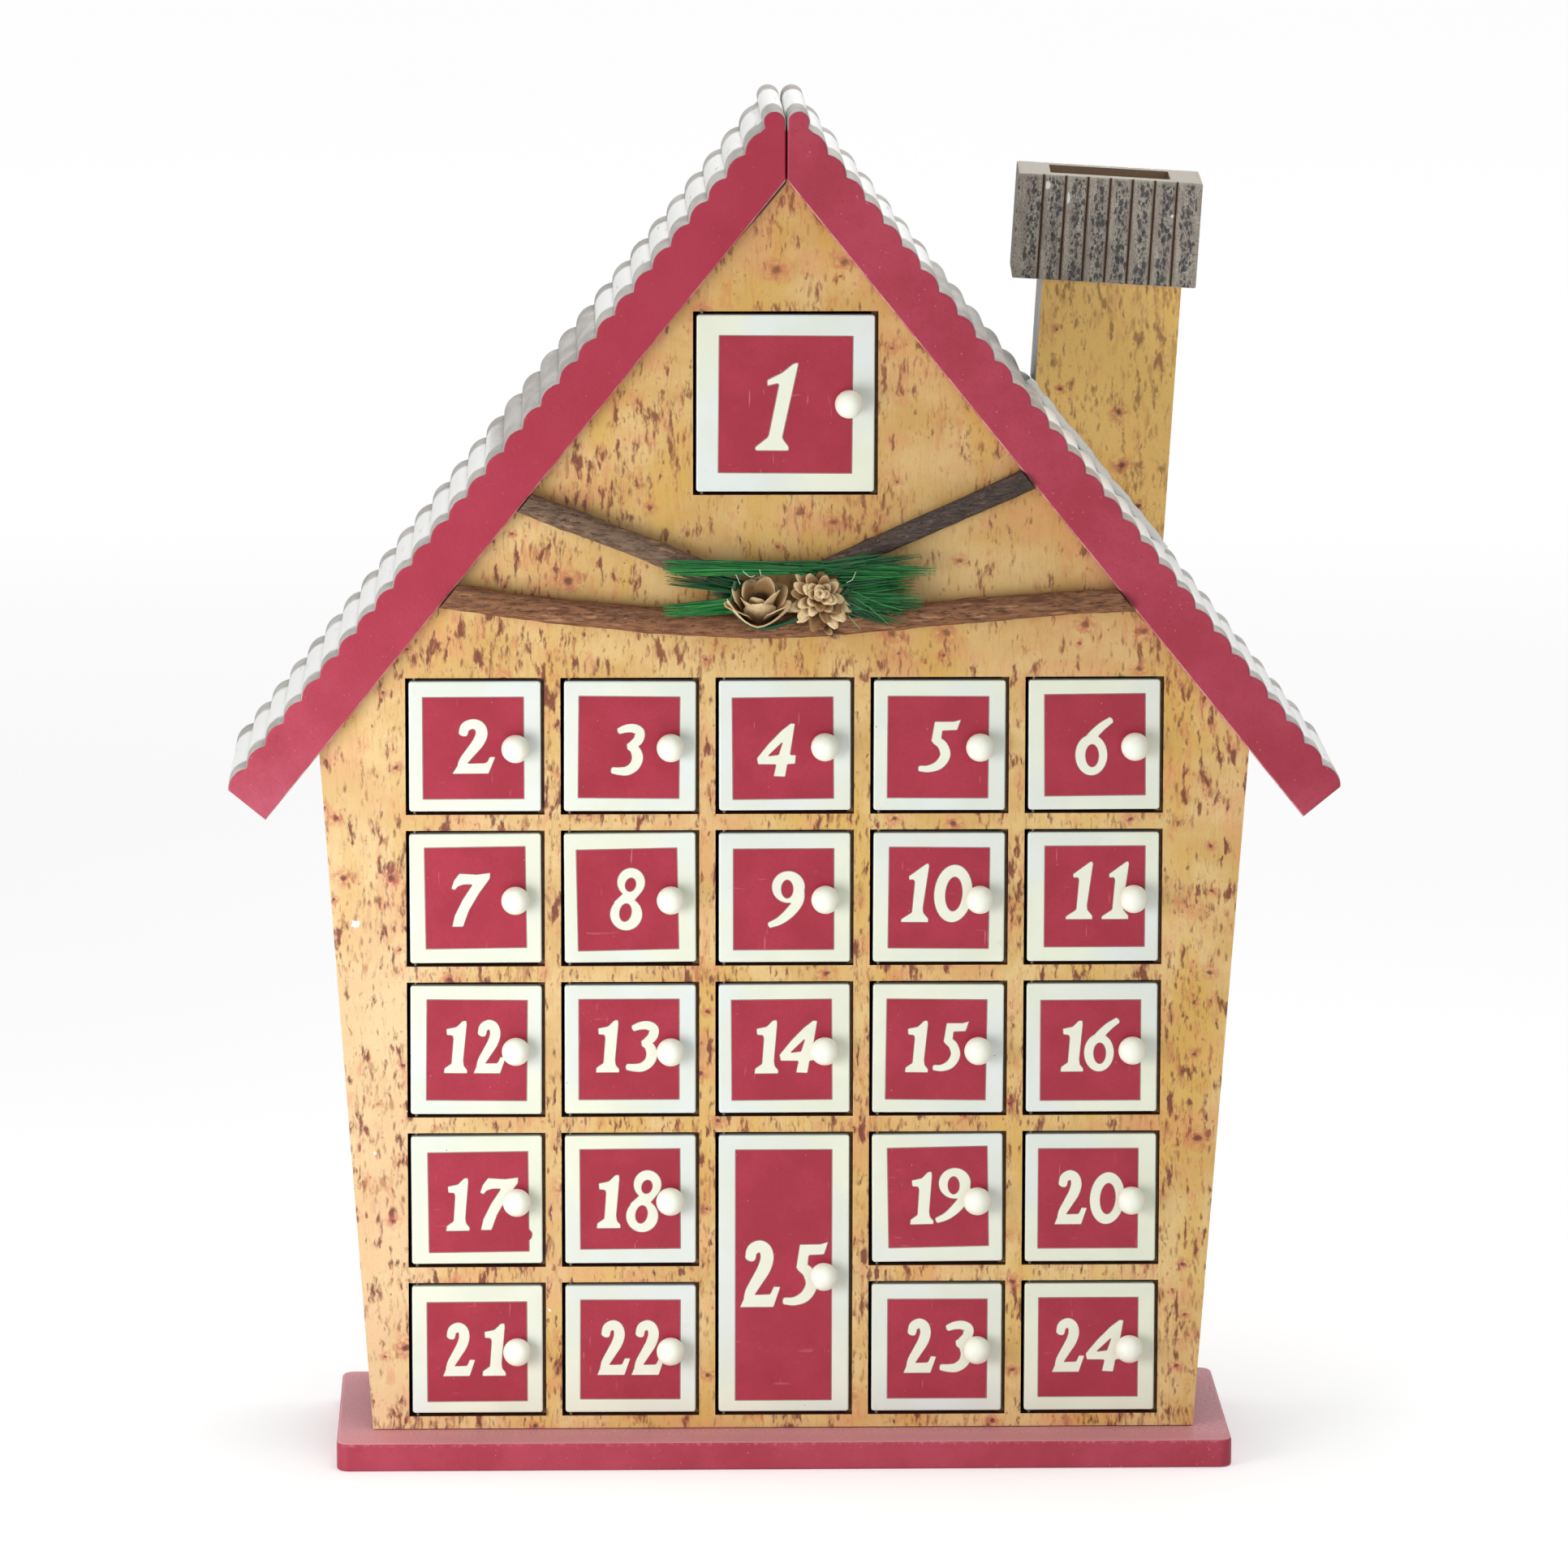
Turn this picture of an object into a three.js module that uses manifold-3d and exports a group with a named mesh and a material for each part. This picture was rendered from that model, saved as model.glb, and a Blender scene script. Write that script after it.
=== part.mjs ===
// House-shaped advent calendar: a gabled wooden box with twenty-five numbered doors.
// Millimetres, +Z up. The doors face -Y, and the origin is the middle of the base's underside.
import * as THREE from "three";
import { mergeVertices } from "three/addons/utils/BufferGeometryUtils.js";
import Module from "manifold-3d";

const wasm = await Module();
wasm.setup();

// Driving dimensions
const GAP = {
  seat: 0.3, // between a piece and what it is glued to or rests on
  door: 1.0, // all round a closed door
  pin: 0.15, // round a hinge pin in its notch
  swing: 0.1, // least room left at the hinge edge while a door turns
};
const BASE = { thickness: 9, ledge: 11.2, frontStep: 17.4, backStep: 1.6, corner: 4, edge: 0.8 };
const HOUSE = { depth: 74, margin: 8.8, wallLean: 4.06, wall: 5, frontPanel: 4, backPanel: 3 };
const GRID = { columns: 5, rows: 5, opening: 43, rail: 5, tallColumn: 2, tallRows: 2 };
const TOP_DOOR = { opening: 57, headroom: 5.9 };
const CRATE = { board: 3, stop: 2, clear: 0.5 };
const DOOR = { corner: 0.5, edge: 0.4 };
const KNOB = { diameter: 8.8, inset: 8, sink: 0.5 };
const PIN = { diameter: 1.2, bite: 1.6 };
const ROOF = {
  slope: 51, board: 14.9, cornerGap: 10, eave: 26.3, frontOverhang: 6, backOverhang: 1.6,
  ribPitch: 9.05, ribHeight: 1.8, ribSteps: 4, seamTop: 19.1, crestTop: 21.2, crestRun: 2.4,
};
const SHAFT = { fromRidge: 99.8, width: 43.6, depth: 28, wall: 3, height: 58.3, lean: 3.5 };
const CAP = {
  width: 57.6, depth: 35, height: 33, shift: -2.2, sideWall: 10, frontWall: 6,
  groovePitch: 6.96, grooveWidth: 1.2, grooveDepth: 1,
};
// Heights of the decoration are counted from the top edge of the top row's openings
const LOWER_TWIG = { radius: 3.9, height: 17.1, sag: 8.6, reach: 124, skew: 1.1 };
const LEFT_TWIG = { radius: 3.2, outer: [-98, 63.5], bow: [-54, 45.8], inner: [-24, 33.2] };
const RIGHT_TWIG = { radius: 3.5, outer: [98, 73.5], bow: [42, 48], inner: [15.5, 36] };
const SPRIG = {
  stem: 0.8, needle: 0.3, tip: 0.12, lap: 25, wrap: 2.2, rise: 9.2, lift: 0.5, layers: 2, layerGap: 0.9,
};
// Stops of the sprig's wire: place across the front, rise above the lower twig, and step out from it
const WIRE_STOPS = [
  { x: -15.5, rise: 9.5, step: 0.4 }, { x: -6, rise: 2, step: 0 }, { x: 3, rise: 0, step: 0 },
  { x: 12, rise: 1.6, step: 0 }, { x: 19.5, rise: 6, step: 0.4 },
];
// Bunches of needles: where they bend and where they end, across the front and in height
const LEFT_FAN = { needles: 6, bendX: -20, bend: [30.5, 35.5], tipX: -38, tips: [33, 39], ragged: 0.2 };
const LOW_FAN = { needles: 4, bendX: -20, bend: [23, 26.5], tipX: -38, tips: [21, 26], ragged: 0.2 };
const RIGHT_FAN = { needles: 8, bendX: 24, bend: [23.5, 35], tipX: 47, tips: [20, 40], ragged: 0.25 };
const CONE = { scale: 0.8, coreShare: 0.42, golden: 137.5 };
const LEFT_CONE = { at: [-7.7, 24.2], out: 12.6, radius: 9.3, length: 17, tilt: 32, turn: 4, scales: 21 };
const RIGHT_CONE = { at: [10.6, 27.0], out: 12.4, radius: 8.6, length: 19, tilt: 62, turn: -10, scales: 24 };

// Places worked out from the driving dimensions
const radians = THREE.MathUtils.degToRad;
const pitch = GRID.opening + GRID.rail;
const gridHalf = (GRID.columns * pitch) / 2;
const footHalf = gridHalf + HOUSE.margin;
const baseWidth = 2 * (footHalf + BASE.ledge);
const baseDepth = BASE.frontStep + HOUSE.depth + BASE.backStep;
const frontY = BASE.frontStep - baseDepth / 2;
const backY = frontY + HOUSE.depth;
const innerFrontY = frontY + HOUSE.frontPanel + GAP.seat;
const innerBackY = backY - HOUSE.backPanel - GAP.seat;
const floorZ = BASE.thickness + GAP.seat;
const shelfDrop = GRID.rail / 2;
const firstSill = floorZ + CRATE.board / 2 + shelfDrop;
const topRowTop = firstSill + (GRID.rows - 1) * pitch + GRID.opening;
const roofTan = Math.tan(radians(ROOF.slope));
const roofCos = Math.cos(radians(ROOF.slope));
const roofSin = Math.sin(radians(ROOF.slope));
const leanTan = Math.tan(radians(HOUSE.wallLean));
const leanCos = Math.cos(radians(HOUSE.wallLean));
const ridgeZ = topRowTop + ROOF.cornerGap + (gridHalf - GRID.rail / 2) * roofTan;
const roofFrontY = frontY - ROOF.frontOverhang;
const roofBackY = backY + ROOF.backOverhang;
const pinRadius = PIN.diameter / 2;
const far = 1000;

// Inset of the hinge pin from the door's edge at which that edge clears the opening as it turns
function pinInset() {
  const room = GAP.door - GAP.swing;
  const half = HOUSE.frontPanel / 2;
  return Math.max((half * half - room * room) / (2 * room), pinRadius + GAP.seat);
}

// Materials, one look for each kind of surface
function paint(color, roughness, metalness = 0) {
  return new THREE.MeshStandardMaterial({ color, roughness, metalness, flatShading: true });
}
const redPaint = { color: 0xa83a4e, roughness: 0.6 };
const printedWood = { color: 0xd6aa5f, roughness: 0.62 };
const ribPaint = { color: 0xa39a90, roughness: 0.75 };
const creamPaint = { color: 0xeef0e2, roughness: 0.5 };
const fibreboard = { color: 0xb8935f, roughness: 0.85 };
const bark = { color: 0x6a4a3c, roughness: 0.95 };
const pineGreen = { color: 0x1f7a43, roughness: 0.5 };
const coneBrown = { color: 0xa98560, roughness: 0.9 };

// Turning three.js geometry into manifold solids and back
function solid(geometry) {
  const bare = geometry.clone();
  for (const name of Object.keys(bare.attributes)) {
    if (name !== "position") bare.deleteAttribute(name);
  }
  const merged = mergeVertices(bare, 1e-4);
  return new wasm.Manifold(new wasm.Mesh({
    numProp: 3,
    vertProperties: Float32Array.from(merged.attributes.position.array),
    triVerts: Uint32Array.from(merged.index.array),
  }));
}

function surface(body) {
  const mesh = body.getMesh();
  const geometry = new THREE.BufferGeometry();
  geometry.setAttribute("position", new THREE.BufferAttribute(Float32Array.from(mesh.vertProperties), 3));
  geometry.setIndex(new THREE.BufferAttribute(Uint32Array.from(mesh.triVerts), 1));
  return geometry;
}

function cut(body, cutters) {
  return cutters.reduce((rest, cutter) => rest.subtract(cutter), body);
}

function join(bodies) {
  return bodies.reduce((whole, body) => whole.add(body));
}

// Outlines and plates
function outline(points) {
  return new THREE.Shape(points.map(([x, y]) => new THREE.Vector2(x, y)));
}

function rectangle(left, bottom, width, height) {
  const right = left + width;
  const top = bottom + height;
  return outline([[left, bottom], [right, bottom], [right, top], [left, top]]);
}

function clippedRectangle(left, bottom, width, height, clip) {
  const right = left + width;
  const top = bottom + height;
  return outline([
    [left + clip, bottom], [right - clip, bottom], [right, bottom + clip], [right, top - clip],
    [right - clip, top], [left + clip, top], [left, top - clip], [left, bottom + clip],
  ]);
}

function roundedRectangle(left, bottom, width, height, radius) {
  const right = left + width;
  const top = bottom + height;
  const shape = new THREE.Shape();
  shape.absarc(right - radius, bottom + radius, radius, -Math.PI / 2, 0);
  shape.absarc(right - radius, top - radius, radius, 0, Math.PI / 2);
  shape.absarc(left + radius, top - radius, radius, Math.PI / 2, Math.PI);
  shape.absarc(left + radius, bottom + radius, radius, Math.PI, 1.5 * Math.PI);
  return shape;
}

// A plate cut from an outline in X and Z, running from frontFace to backFace along Y
function uprightPlate(shape, frontFace, backFace) {
  const geometry = new THREE.ExtrudeGeometry(shape, { depth: backFace - frontFace, bevelEnabled: false });
  geometry.rotateX(Math.PI / 2);
  geometry.translate(0, backFace, 0);
  return solid(geometry);
}

// A plate cut from an outline in X and Y, running from bottom to top along Z
function levelPlate(shape, bottom, top) {
  const geometry = new THREE.ExtrudeGeometry(shape, { depth: top - bottom, bevelEnabled: false });
  geometry.translate(0, 0, bottom);
  return solid(geometry);
}

function block(low, high) {
  const size = high.map((value, axis) => value - low[axis]);
  const geometry = new THREE.BoxGeometry(...size);
  geometry.translate(...low.map((value, axis) => value + size[axis] / 2));
  return solid(geometry);
}

// A tapering round limb along a smooth curve through the points
function limb(points, steps, sides, radiusAt) {
  const curve = new THREE.CatmullRomCurve3(points);
  const frames = curve.computeFrenetFrames(steps, false);
  const vertices = [];
  const faces = [];
  for (let step = 0; step <= steps; step += 1) {
    const centre = curve.getPointAt(step / steps);
    for (let side = 0; side < sides; side += 1) {
      const angle = (2 * Math.PI * side) / sides;
      const radius = radiusAt(step / steps, angle);
      const point = centre.clone();
      point.addScaledVector(frames.normals[step], radius * Math.cos(angle));
      point.addScaledVector(frames.binormals[step], radius * Math.sin(angle));
      vertices.push(...point.toArray());
    }
  }
  const startTip = (steps + 1) * sides;
  vertices.push(...curve.getPointAt(0).toArray(), ...curve.getPointAt(1).toArray());
  for (let side = 0; side < sides; side += 1) {
    const next = (side + 1) % sides;
    for (let step = 0; step < steps; step += 1) {
      const near = step * sides;
      const away = near + sides;
      faces.push(near + side, near + next, away + side, near + next, away + next, away + side);
    }
    faces.push(startTip, next, side);
    faces.push(startTip + 1, steps * sides + side, steps * sides + next);
  }
  const geometry = new THREE.BufferGeometry();
  geometry.setAttribute("position", new THREE.Float32BufferAttribute(vertices, 3));
  geometry.setIndex(faces);
  return solid(geometry);
}

// The house's section: leaning walls under the roof's underside, both kept clear by the seat gap
function wallLineX(z, inset) {
  return footHalf - inset + (z - BASE.thickness) * leanTan;
}

function underRoofZ(x) {
  return ridgeZ - Math.abs(x) * roofTan - GAP.seat / roofCos;
}

function wallTopZ(inset) {
  const footX = wallLineX(0, inset);
  return (underRoofZ(0) - roofTan * footX) / (1 + roofTan * leanTan);
}

function houseShape(inset) {
  const shoulderZ = wallTopZ(inset);
  const footX = wallLineX(floorZ, inset);
  const shoulderX = wallLineX(shoulderZ, inset);
  return outline([
    [-footX, floorZ], [footX, floorZ], [shoulderX, shoulderZ], [0, underRoofZ(0)], [-shoulderX, shoulderZ],
  ]);
}

const wallInset = HOUSE.wall / leanCos;
const inside = uprightPlate(houseShape(wallInset + GAP.seat / leanCos), innerFrontY, innerBackY);

// Openings of the front panel, numbered from the top door down, with the tall door last
function openingList() {
  const list = [];
  const topDoorTop = ridgeZ - (TOP_DOOR.opening / 2) * roofTan - TOP_DOOR.headroom;
  const topSize = { width: TOP_DOOR.opening, height: TOP_DOOR.opening };
  list.push({ left: -TOP_DOOR.opening / 2, sill: topDoorTop - TOP_DOOR.opening, ...topSize });
  for (let row = GRID.rows - 1; row >= 0; row -= 1) {
    for (let column = 0; column < GRID.columns; column += 1) {
      if (column === GRID.tallColumn && row < GRID.tallRows) continue;
      const left = column * pitch - gridHalf + GRID.rail / 2;
      list.push({ left, sill: firstSill + row * pitch, width: GRID.opening, height: GRID.opening });
    }
  }
  const tallLeft = GRID.tallColumn * pitch - gridHalf + GRID.rail / 2;
  const tallHeight = GRID.tallRows * pitch - GRID.rail;
  list.push({ left: tallLeft, sill: firstSill, width: GRID.opening, height: tallHeight });
  return list;
}
const openings = openingList();
const hingeX = (opening) => opening.left + GAP.door + pinInset();
const hingeY = frontY + HOUSE.frontPanel / 2;

function basePlinth() {
  const shape = roundedRectangle(-baseWidth / 2, -baseDepth / 2, baseWidth, baseDepth, BASE.corner);
  const geometry = new THREE.ExtrudeGeometry(shape, {
    depth: BASE.thickness - 2 * BASE.edge, curveSegments: 2, bevelSegments: 2,
    bevelThickness: BASE.edge, bevelSize: BASE.edge, bevelOffset: -BASE.edge,
  });
  geometry.translate(0, 0, BASE.edge);
  return solid(geometry);
}

// Notches milled in from the panel's back, which the ends of a door's hinge pin drop into
function hingeNotches(opening) {
  const reach = pinRadius + GAP.pin;
  const depth = PIN.bite + GAP.pin;
  const x = hingeX(opening);
  const top = opening.sill + opening.height;
  const notch = (low, high) => block([x - reach, hingeY - reach, low], [x + reach, innerFrontY, high]);
  return [notch(opening.sill - depth, opening.sill + GAP.door), notch(top - GAP.door, top + depth)];
}

function doorway(opening) {
  return block(
    [opening.left, frontY - GAP.seat, opening.sill],
    [opening.left + opening.width, innerFrontY, opening.sill + opening.height],
  );
}

function frontPanel() {
  const board = uprightPlate(houseShape(0), frontY, frontY + HOUSE.frontPanel);
  return cut(board, openings.flatMap((opening) => [doorway(opening), ...hingeNotches(opening)]));
}

function backPanel() {
  return uprightPlate(houseShape(0), backY - HOUSE.backPanel, backY);
}

function sideWall(side) {
  const outerTop = wallTopZ(0);
  const innerTop = wallTopZ(wallInset);
  const points = [
    [wallLineX(floorZ, wallInset), floorZ], [wallLineX(floorZ, 0), floorZ],
    [wallLineX(outerTop, 0), outerTop], [wallLineX(innerTop, wallInset), innerTop],
  ];
  return uprightPlate(outline(points.map(([x, z]) => [side * x, z])), innerFrontY, innerBackY);
}

// Crate of shelves and dividers lapped halfway into each other behind the front panel
const middleY = (innerFrontY + innerBackY) / 2;
const shelfZ = (level) => firstSill - shelfDrop + level * pitch;
const stopX = (openingRight) => openingRight - CRATE.stop;
const columnRight = (column) => (column + 1) * pitch - gridHalf - GRID.rail / 2;
const firstDividerX = GRID.rail / 2 - gridHalf - CRATE.clear - CRATE.board;
const dividerX = (index) => (index === 0 ? firstDividerX : stopX(columnRight(index - 1)));

function shelf(level, left, right, laps) {
  const bottom = shelfZ(level) - CRATE.board / 2;
  const plan = rectangle(left, innerFrontY, right - left, innerBackY - innerFrontY);
  const board = levelPlate(plan, bottom, bottom + CRATE.board);
  const slots = laps.map((index) => block(
    [dividerX(index) - GAP.seat, innerFrontY - GAP.seat, bottom - GAP.seat],
    [dividerX(index) + CRATE.board + GAP.seat, middleY + GAP.seat / 2, bottom + CRATE.board + GAP.seat],
  ));
  return cut(board, slots).intersect(inside);
}

function divider(index) {
  const bottom = floorZ;
  const top = shelfZ(GRID.rows) + CRATE.board / 2;
  const left = dividerX(index);
  const right = left + CRATE.board;
  const board = block([left, innerFrontY, bottom], [right, innerBackY, top]);
  const slots = [];
  for (let level = 0; level <= GRID.rows; level += 1) {
    const besideTallDoor = index === GRID.tallColumn || index === GRID.tallColumn + 1;
    const endsHere = besideTallDoor && level > 0 && level < GRID.tallRows;
    if (endsHere) continue;
    const half = CRATE.board / 2 + GAP.seat;
    slots.push(block(
      [left - GAP.seat, middleY - GAP.seat / 2, shelfZ(level) - half],
      [right + GAP.seat, innerBackY + GAP.seat, shelfZ(level) + half],
    ));
  }
  return cut(board, slots).intersect(inside);
}

function crate() {
  const pieces = [];
  const all = Array.from({ length: GRID.columns + 1 }, (_, index) => index);
  const before = all.filter((index) => index < GRID.tallColumn);
  const after = all.filter((index) => index > GRID.tallColumn + 1);
  for (let level = 0; level <= GRID.rows; level += 1) {
    const split = level > 0 && level < GRID.tallRows;
    if (split) {
      const leftEnd = dividerX(GRID.tallColumn) - GAP.seat;
      const rightEnd = dividerX(GRID.tallColumn + 1) + CRATE.board + GAP.seat;
      pieces.push([`shelf_${level}_left`, shelf(level, -far, leftEnd, before)]);
      pieces.push([`shelf_${level}_right`, shelf(level, rightEnd, far, after)]);
    } else {
      pieces.push([`shelf_${level}`, shelf(level, -far, far, all)]);
    }
  }
  for (const index of all) {
    pieces.push([`divider_${index + 1}`, divider(index)]);
  }
  return pieces;
}

// Small box behind the top door: a floor across the gable, two sides and a ceiling
function gableBox() {
  const [door] = openings;
  const floorTop = door.sill - shelfDrop + CRATE.board / 2;
  const ceilingBottom = door.sill + door.height + shelfDrop - CRATE.board / 2;
  const leftX = door.left - CRATE.clear - CRATE.board;
  const rightX = stopX(door.left + door.width);
  const board = (low, high) => block(low, high).intersect(inside);
  const side = (x) => board([x, innerFrontY, floorTop + GAP.seat], [x + CRATE.board, innerBackY, far]);
  return [
    ["gable_floor", board([-far, innerFrontY, floorTop - CRATE.board], [far, innerBackY, floorTop])],
    ["gable_side_left", side(leftX)],
    ["gable_side_right", side(rightX)],
    ["gable_ceiling", board(
      [leftX + CRATE.board + GAP.seat, innerFrontY, ceilingBottom],
      [rightX - GAP.seat, innerBackY, ceilingBottom + CRATE.board],
    )],
  ];
}

// Roof boards: ribbed on top, square at the eaves, mitred together at the ridge, with the mitre's
// sharp tips worn down to a shallow valley along the seam
const ribRadius = (ROOF.ribHeight ** 2 + (ROOF.ribPitch / 2) ** 2) / (2 * ROOF.ribHeight);
const roofPeak = ROOF.board + ROOF.ribHeight;
const roofPoint = (along, above) => [
  along * roofCos + above * roofSin,
  ridgeZ - along * roofSin + above * roofCos,
];

function roofBoard(side) {
  const eaveEnd = wallLineX(wallTopZ(0), 0) / roofCos + ROOF.eave;
  const ridgeRun = roofPeak * roofTan + ROOF.ribPitch;
  const ribs = Math.ceil((eaveEnd + ridgeRun) / ROOF.ribPitch);
  const points = [roofPoint(-ridgeRun, 0), roofPoint(eaveEnd, 0)];
  for (let rib = 0; rib < ribs; rib += 1) {
    for (let step = 0; step < ROOF.ribSteps; step += 1) {
      const across = (step / ROOF.ribSteps - 0.5) * ROOF.ribPitch;
      const rise = Math.sqrt(ribRadius ** 2 - across ** 2) - ribRadius + ROOF.ribHeight;
      const along = eaveEnd - (rib + step / ROOF.ribSteps) * ROOF.ribPitch;
      points.push(roofPoint(along, ROOF.board + rise));
    }
  }
  points.push(roofPoint(-ridgeRun, ROOF.board));
  const board = uprightPlate(outline(points.map(([x, z]) => [side * x, z])), roofFrontY, roofBackY);
  const nearX = side * (GAP.seat / 2);
  const farX = side * far;
  const mitre = block([Math.min(nearX, farX), -far, 0], [Math.max(nearX, farX), far, far]);
  const aboveCrest = outline([
    [0, ridgeZ + ROOF.seamTop], [side * ROOF.crestRun, ridgeZ + ROOF.crestTop],
    [farX, ridgeZ + ROOF.crestTop], [farX, far], [0, far],
  ]);
  return board.intersect(mitre).subtract(uprightPlate(aboveCrest, roofFrontY - 1, roofBackY + 1));
}

// Chimney: a leaning box shaft cut to the roof, with a grooved ring for a cap
function chimneyGroup() {
  const group = new THREE.Group();
  const footZ = roofPoint(0, roofPeak)[1] - (SHAFT.fromRidge - roofPoint(0, roofPeak)[0]) * roofTan;
  group.position.set(SHAFT.fromRidge, roofBackY - SHAFT.depth / 2, footZ);
  group.rotation.y = radians(SHAFT.lean);
  group.updateMatrixWorld(true);
  return group;
}

function chimneyShaft(group) {
  const bore = rectangle(
    SHAFT.wall - SHAFT.width / 2, SHAFT.wall - SHAFT.depth / 2,
    SHAFT.width - 2 * SHAFT.wall, SHAFT.depth - 2 * SHAFT.wall,
  );
  const plan = rectangle(-SHAFT.width / 2, -SHAFT.depth / 2, SHAFT.width, SHAFT.depth);
  plan.holes.push(bore);
  const shaft = levelPlate(plan, -SHAFT.width * roofTan, SHAFT.height);
  const skin = roofPeak + GAP.seat;
  const belowRoof = new THREE.ExtrudeGeometry(
    outline([roofPoint(-far, -far), roofPoint(far, -far), roofPoint(far, skin), roofPoint(-far, skin)]),
    { depth: 2 * far, bevelEnabled: false },
  );
  belowRoof.rotateX(Math.PI / 2);
  belowRoof.translate(0, far, 0);
  belowRoof.applyMatrix4(group.matrixWorld.clone().invert());
  return shaft.subtract(solid(belowRoof));
}

// One side of the cap's outline, with a groove every pitch, counted from the side's middle
function groovedSide(start, heading, length) {
  const inward = [-heading[1], heading[0]];
  const count = Math.round(length / CAP.groovePitch) - 1;
  const points = [start];
  const at = (along, deep) => [
    start[0] + heading[0] * along + inward[0] * deep,
    start[1] + heading[1] * along + inward[1] * deep,
  ];
  for (let groove = 0; groove < count; groove += 1) {
    const middle = length / 2 + (groove - (count - 1) / 2) * CAP.groovePitch;
    const half = CAP.grooveWidth / 2;
    points.push(at(middle - half, 0), at(middle, CAP.grooveDepth), at(middle + half, 0));
  }
  return points;
}

function chimneyCap() {
  const halfWidth = CAP.width / 2;
  const halfDepth = CAP.depth / 2;
  const plan = outline([
    ...groovedSide([-halfWidth, -halfDepth], [1, 0], CAP.width),
    ...groovedSide([halfWidth, -halfDepth], [0, 1], CAP.depth),
    ...groovedSide([halfWidth, halfDepth], [-1, 0], CAP.width),
    ...groovedSide([-halfWidth, halfDepth], [0, -1], CAP.depth),
  ]);
  plan.holes.push(rectangle(
    CAP.sideWall - halfWidth, CAP.frontWall - halfDepth,
    CAP.width - 2 * CAP.sideWall, CAP.depth - 2 * CAP.frontWall,
  ));
  return levelPlate(plan, 0, CAP.height);
}

// A door with its bead knob and the wire it hangs on, with the wire's axis on local X = Y = 0
function door(opening) {
  const width = opening.width - 2 * GAP.door;
  const height = opening.height - 2 * GAP.door;
  const left = -pinInset();
  const thickness = HOUSE.frontPanel;
  const panel = new THREE.ExtrudeGeometry(clippedRectangle(left, 0, width, height, DOOR.corner), {
    depth: thickness - 2 * DOOR.edge, bevelSegments: 1,
    bevelThickness: DOOR.edge, bevelSize: DOOR.edge, bevelOffset: -DOOR.edge,
  });
  panel.rotateX(Math.PI / 2);
  panel.translate(0, thickness / 2 - DOOR.edge, 0);
  const wireLength = height + 2 * (GAP.door + PIN.bite);
  const wire = new THREE.CylinderGeometry(pinRadius, pinRadius, wireLength, 6);
  wire.rotateX(Math.PI / 2);
  wire.translate(0, 0, height / 2);
  const knobRadius = KNOB.diameter / 2;
  const knob = new THREE.SphereGeometry(knobRadius, 8, 6);
  knob.translate(left + width - KNOB.inset, KNOB.sink - thickness / 2 - knobRadius, height / 2);
  return join([solid(panel), solid(wire), solid(knob)]);
}

// Decoration: three twigs cut to fit under the roof, a sprig of needles and two cones
const decorPoint = (x, out, height) => new THREE.Vector3(x, frontY - out, topRowTop + height);

function underRoof() {
  const top = underRoofZ(0);
  const foot = top / roofTan;
  return uprightPlate(outline([[-foot, 0], [foot, 0], [0, top]]), frontY - far, frontY + far);
}

function barkRadius(radius, grow) {
  return (t, angle) => radius * (1 + 0.05 * Math.sin(23 * t + 2 * angle) + 0.03 * Math.sin(51 * t)) + grow;
}

function lowerTwigPoint(x, lift = 0, out = 0) {
  const share = x / LOWER_TWIG.reach;
  const height = LOWER_TWIG.height + LOWER_TWIG.sag * share * share * (2 - share * share);
  return decorPoint(x, GAP.seat + 1.08 * LOWER_TWIG.radius + out, height + lift + LOWER_TWIG.skew * share);
}

function lowerTwig(grow = 0) {
  const count = 8;
  const points = Array.from({ length: count + 1 }, (_, index) =>
    lowerTwigPoint(LOWER_TWIG.reach * ((2 * index) / count - 1)));
  return limb(points, 20, 8, barkRadius(LOWER_TWIG.radius, grow));
}

function upperTwig(twig, grow = 0) {
  const out = GAP.seat + 1.08 * twig.radius;
  const points = [twig.outer, twig.bow, twig.inner].map(([x, height]) => decorPoint(x, out, height));
  return limb(points, 10, 8, barkRadius(twig.radius, grow));
}

// The sprig's wire lies on the front of the lower twig at its middle and rises to both ends
const lapDistance = 1.08 * LOWER_TWIG.radius + SPRIG.stem + GAP.seat;
const lapUp = lapDistance * Math.cos(radians(SPRIG.lap));
const lapOut = lapDistance * Math.sin(radians(SPRIG.lap));

function stemPoints() {
  return WIRE_STOPS.map((stop) => lowerTwigPoint(stop.x, lapUp + stop.rise, lapOut + stop.step));
}

// The wrap that binds the needles to one end of the wire
function wrap(end, grow = 0) {
  const geometry = new THREE.SphereGeometry(SPRIG.wrap + grow, 7, 5);
  geometry.translate(...end.toArray());
  return solid(geometry);
}

// Needles of one bunch, fanned out from the wrap in layers that stay clear of each other
function bunch(root, fan) {
  const needles = [];
  const lerp = THREE.MathUtils.lerp;
  for (let layer = 0; layer < SPRIG.layers; layer += 1) {
    const out = SPRIG.rise + layer * SPRIG.layerGap;
    for (let index = 0; index < fan.needles; index += 1) {
      const share = (index + 0.5 + 0.3 * (layer - 1)) / fan.needles;
      const shorter = ((index * 0.618 + layer * 0.4) % 1) * fan.ragged;
      const elbow = decorPoint(fan.bendX, out, lerp(...fan.bend, share));
      const tip = decorPoint(fan.tipX * (1 - shorter), out + SPRIG.lift, lerp(...fan.tips, share));
      needles.push(limb([root, elbow, tip], 3, 3, (t) => lerp(SPRIG.needle, SPRIG.tip, t)));
    }
  }
  return needles;
}

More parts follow.
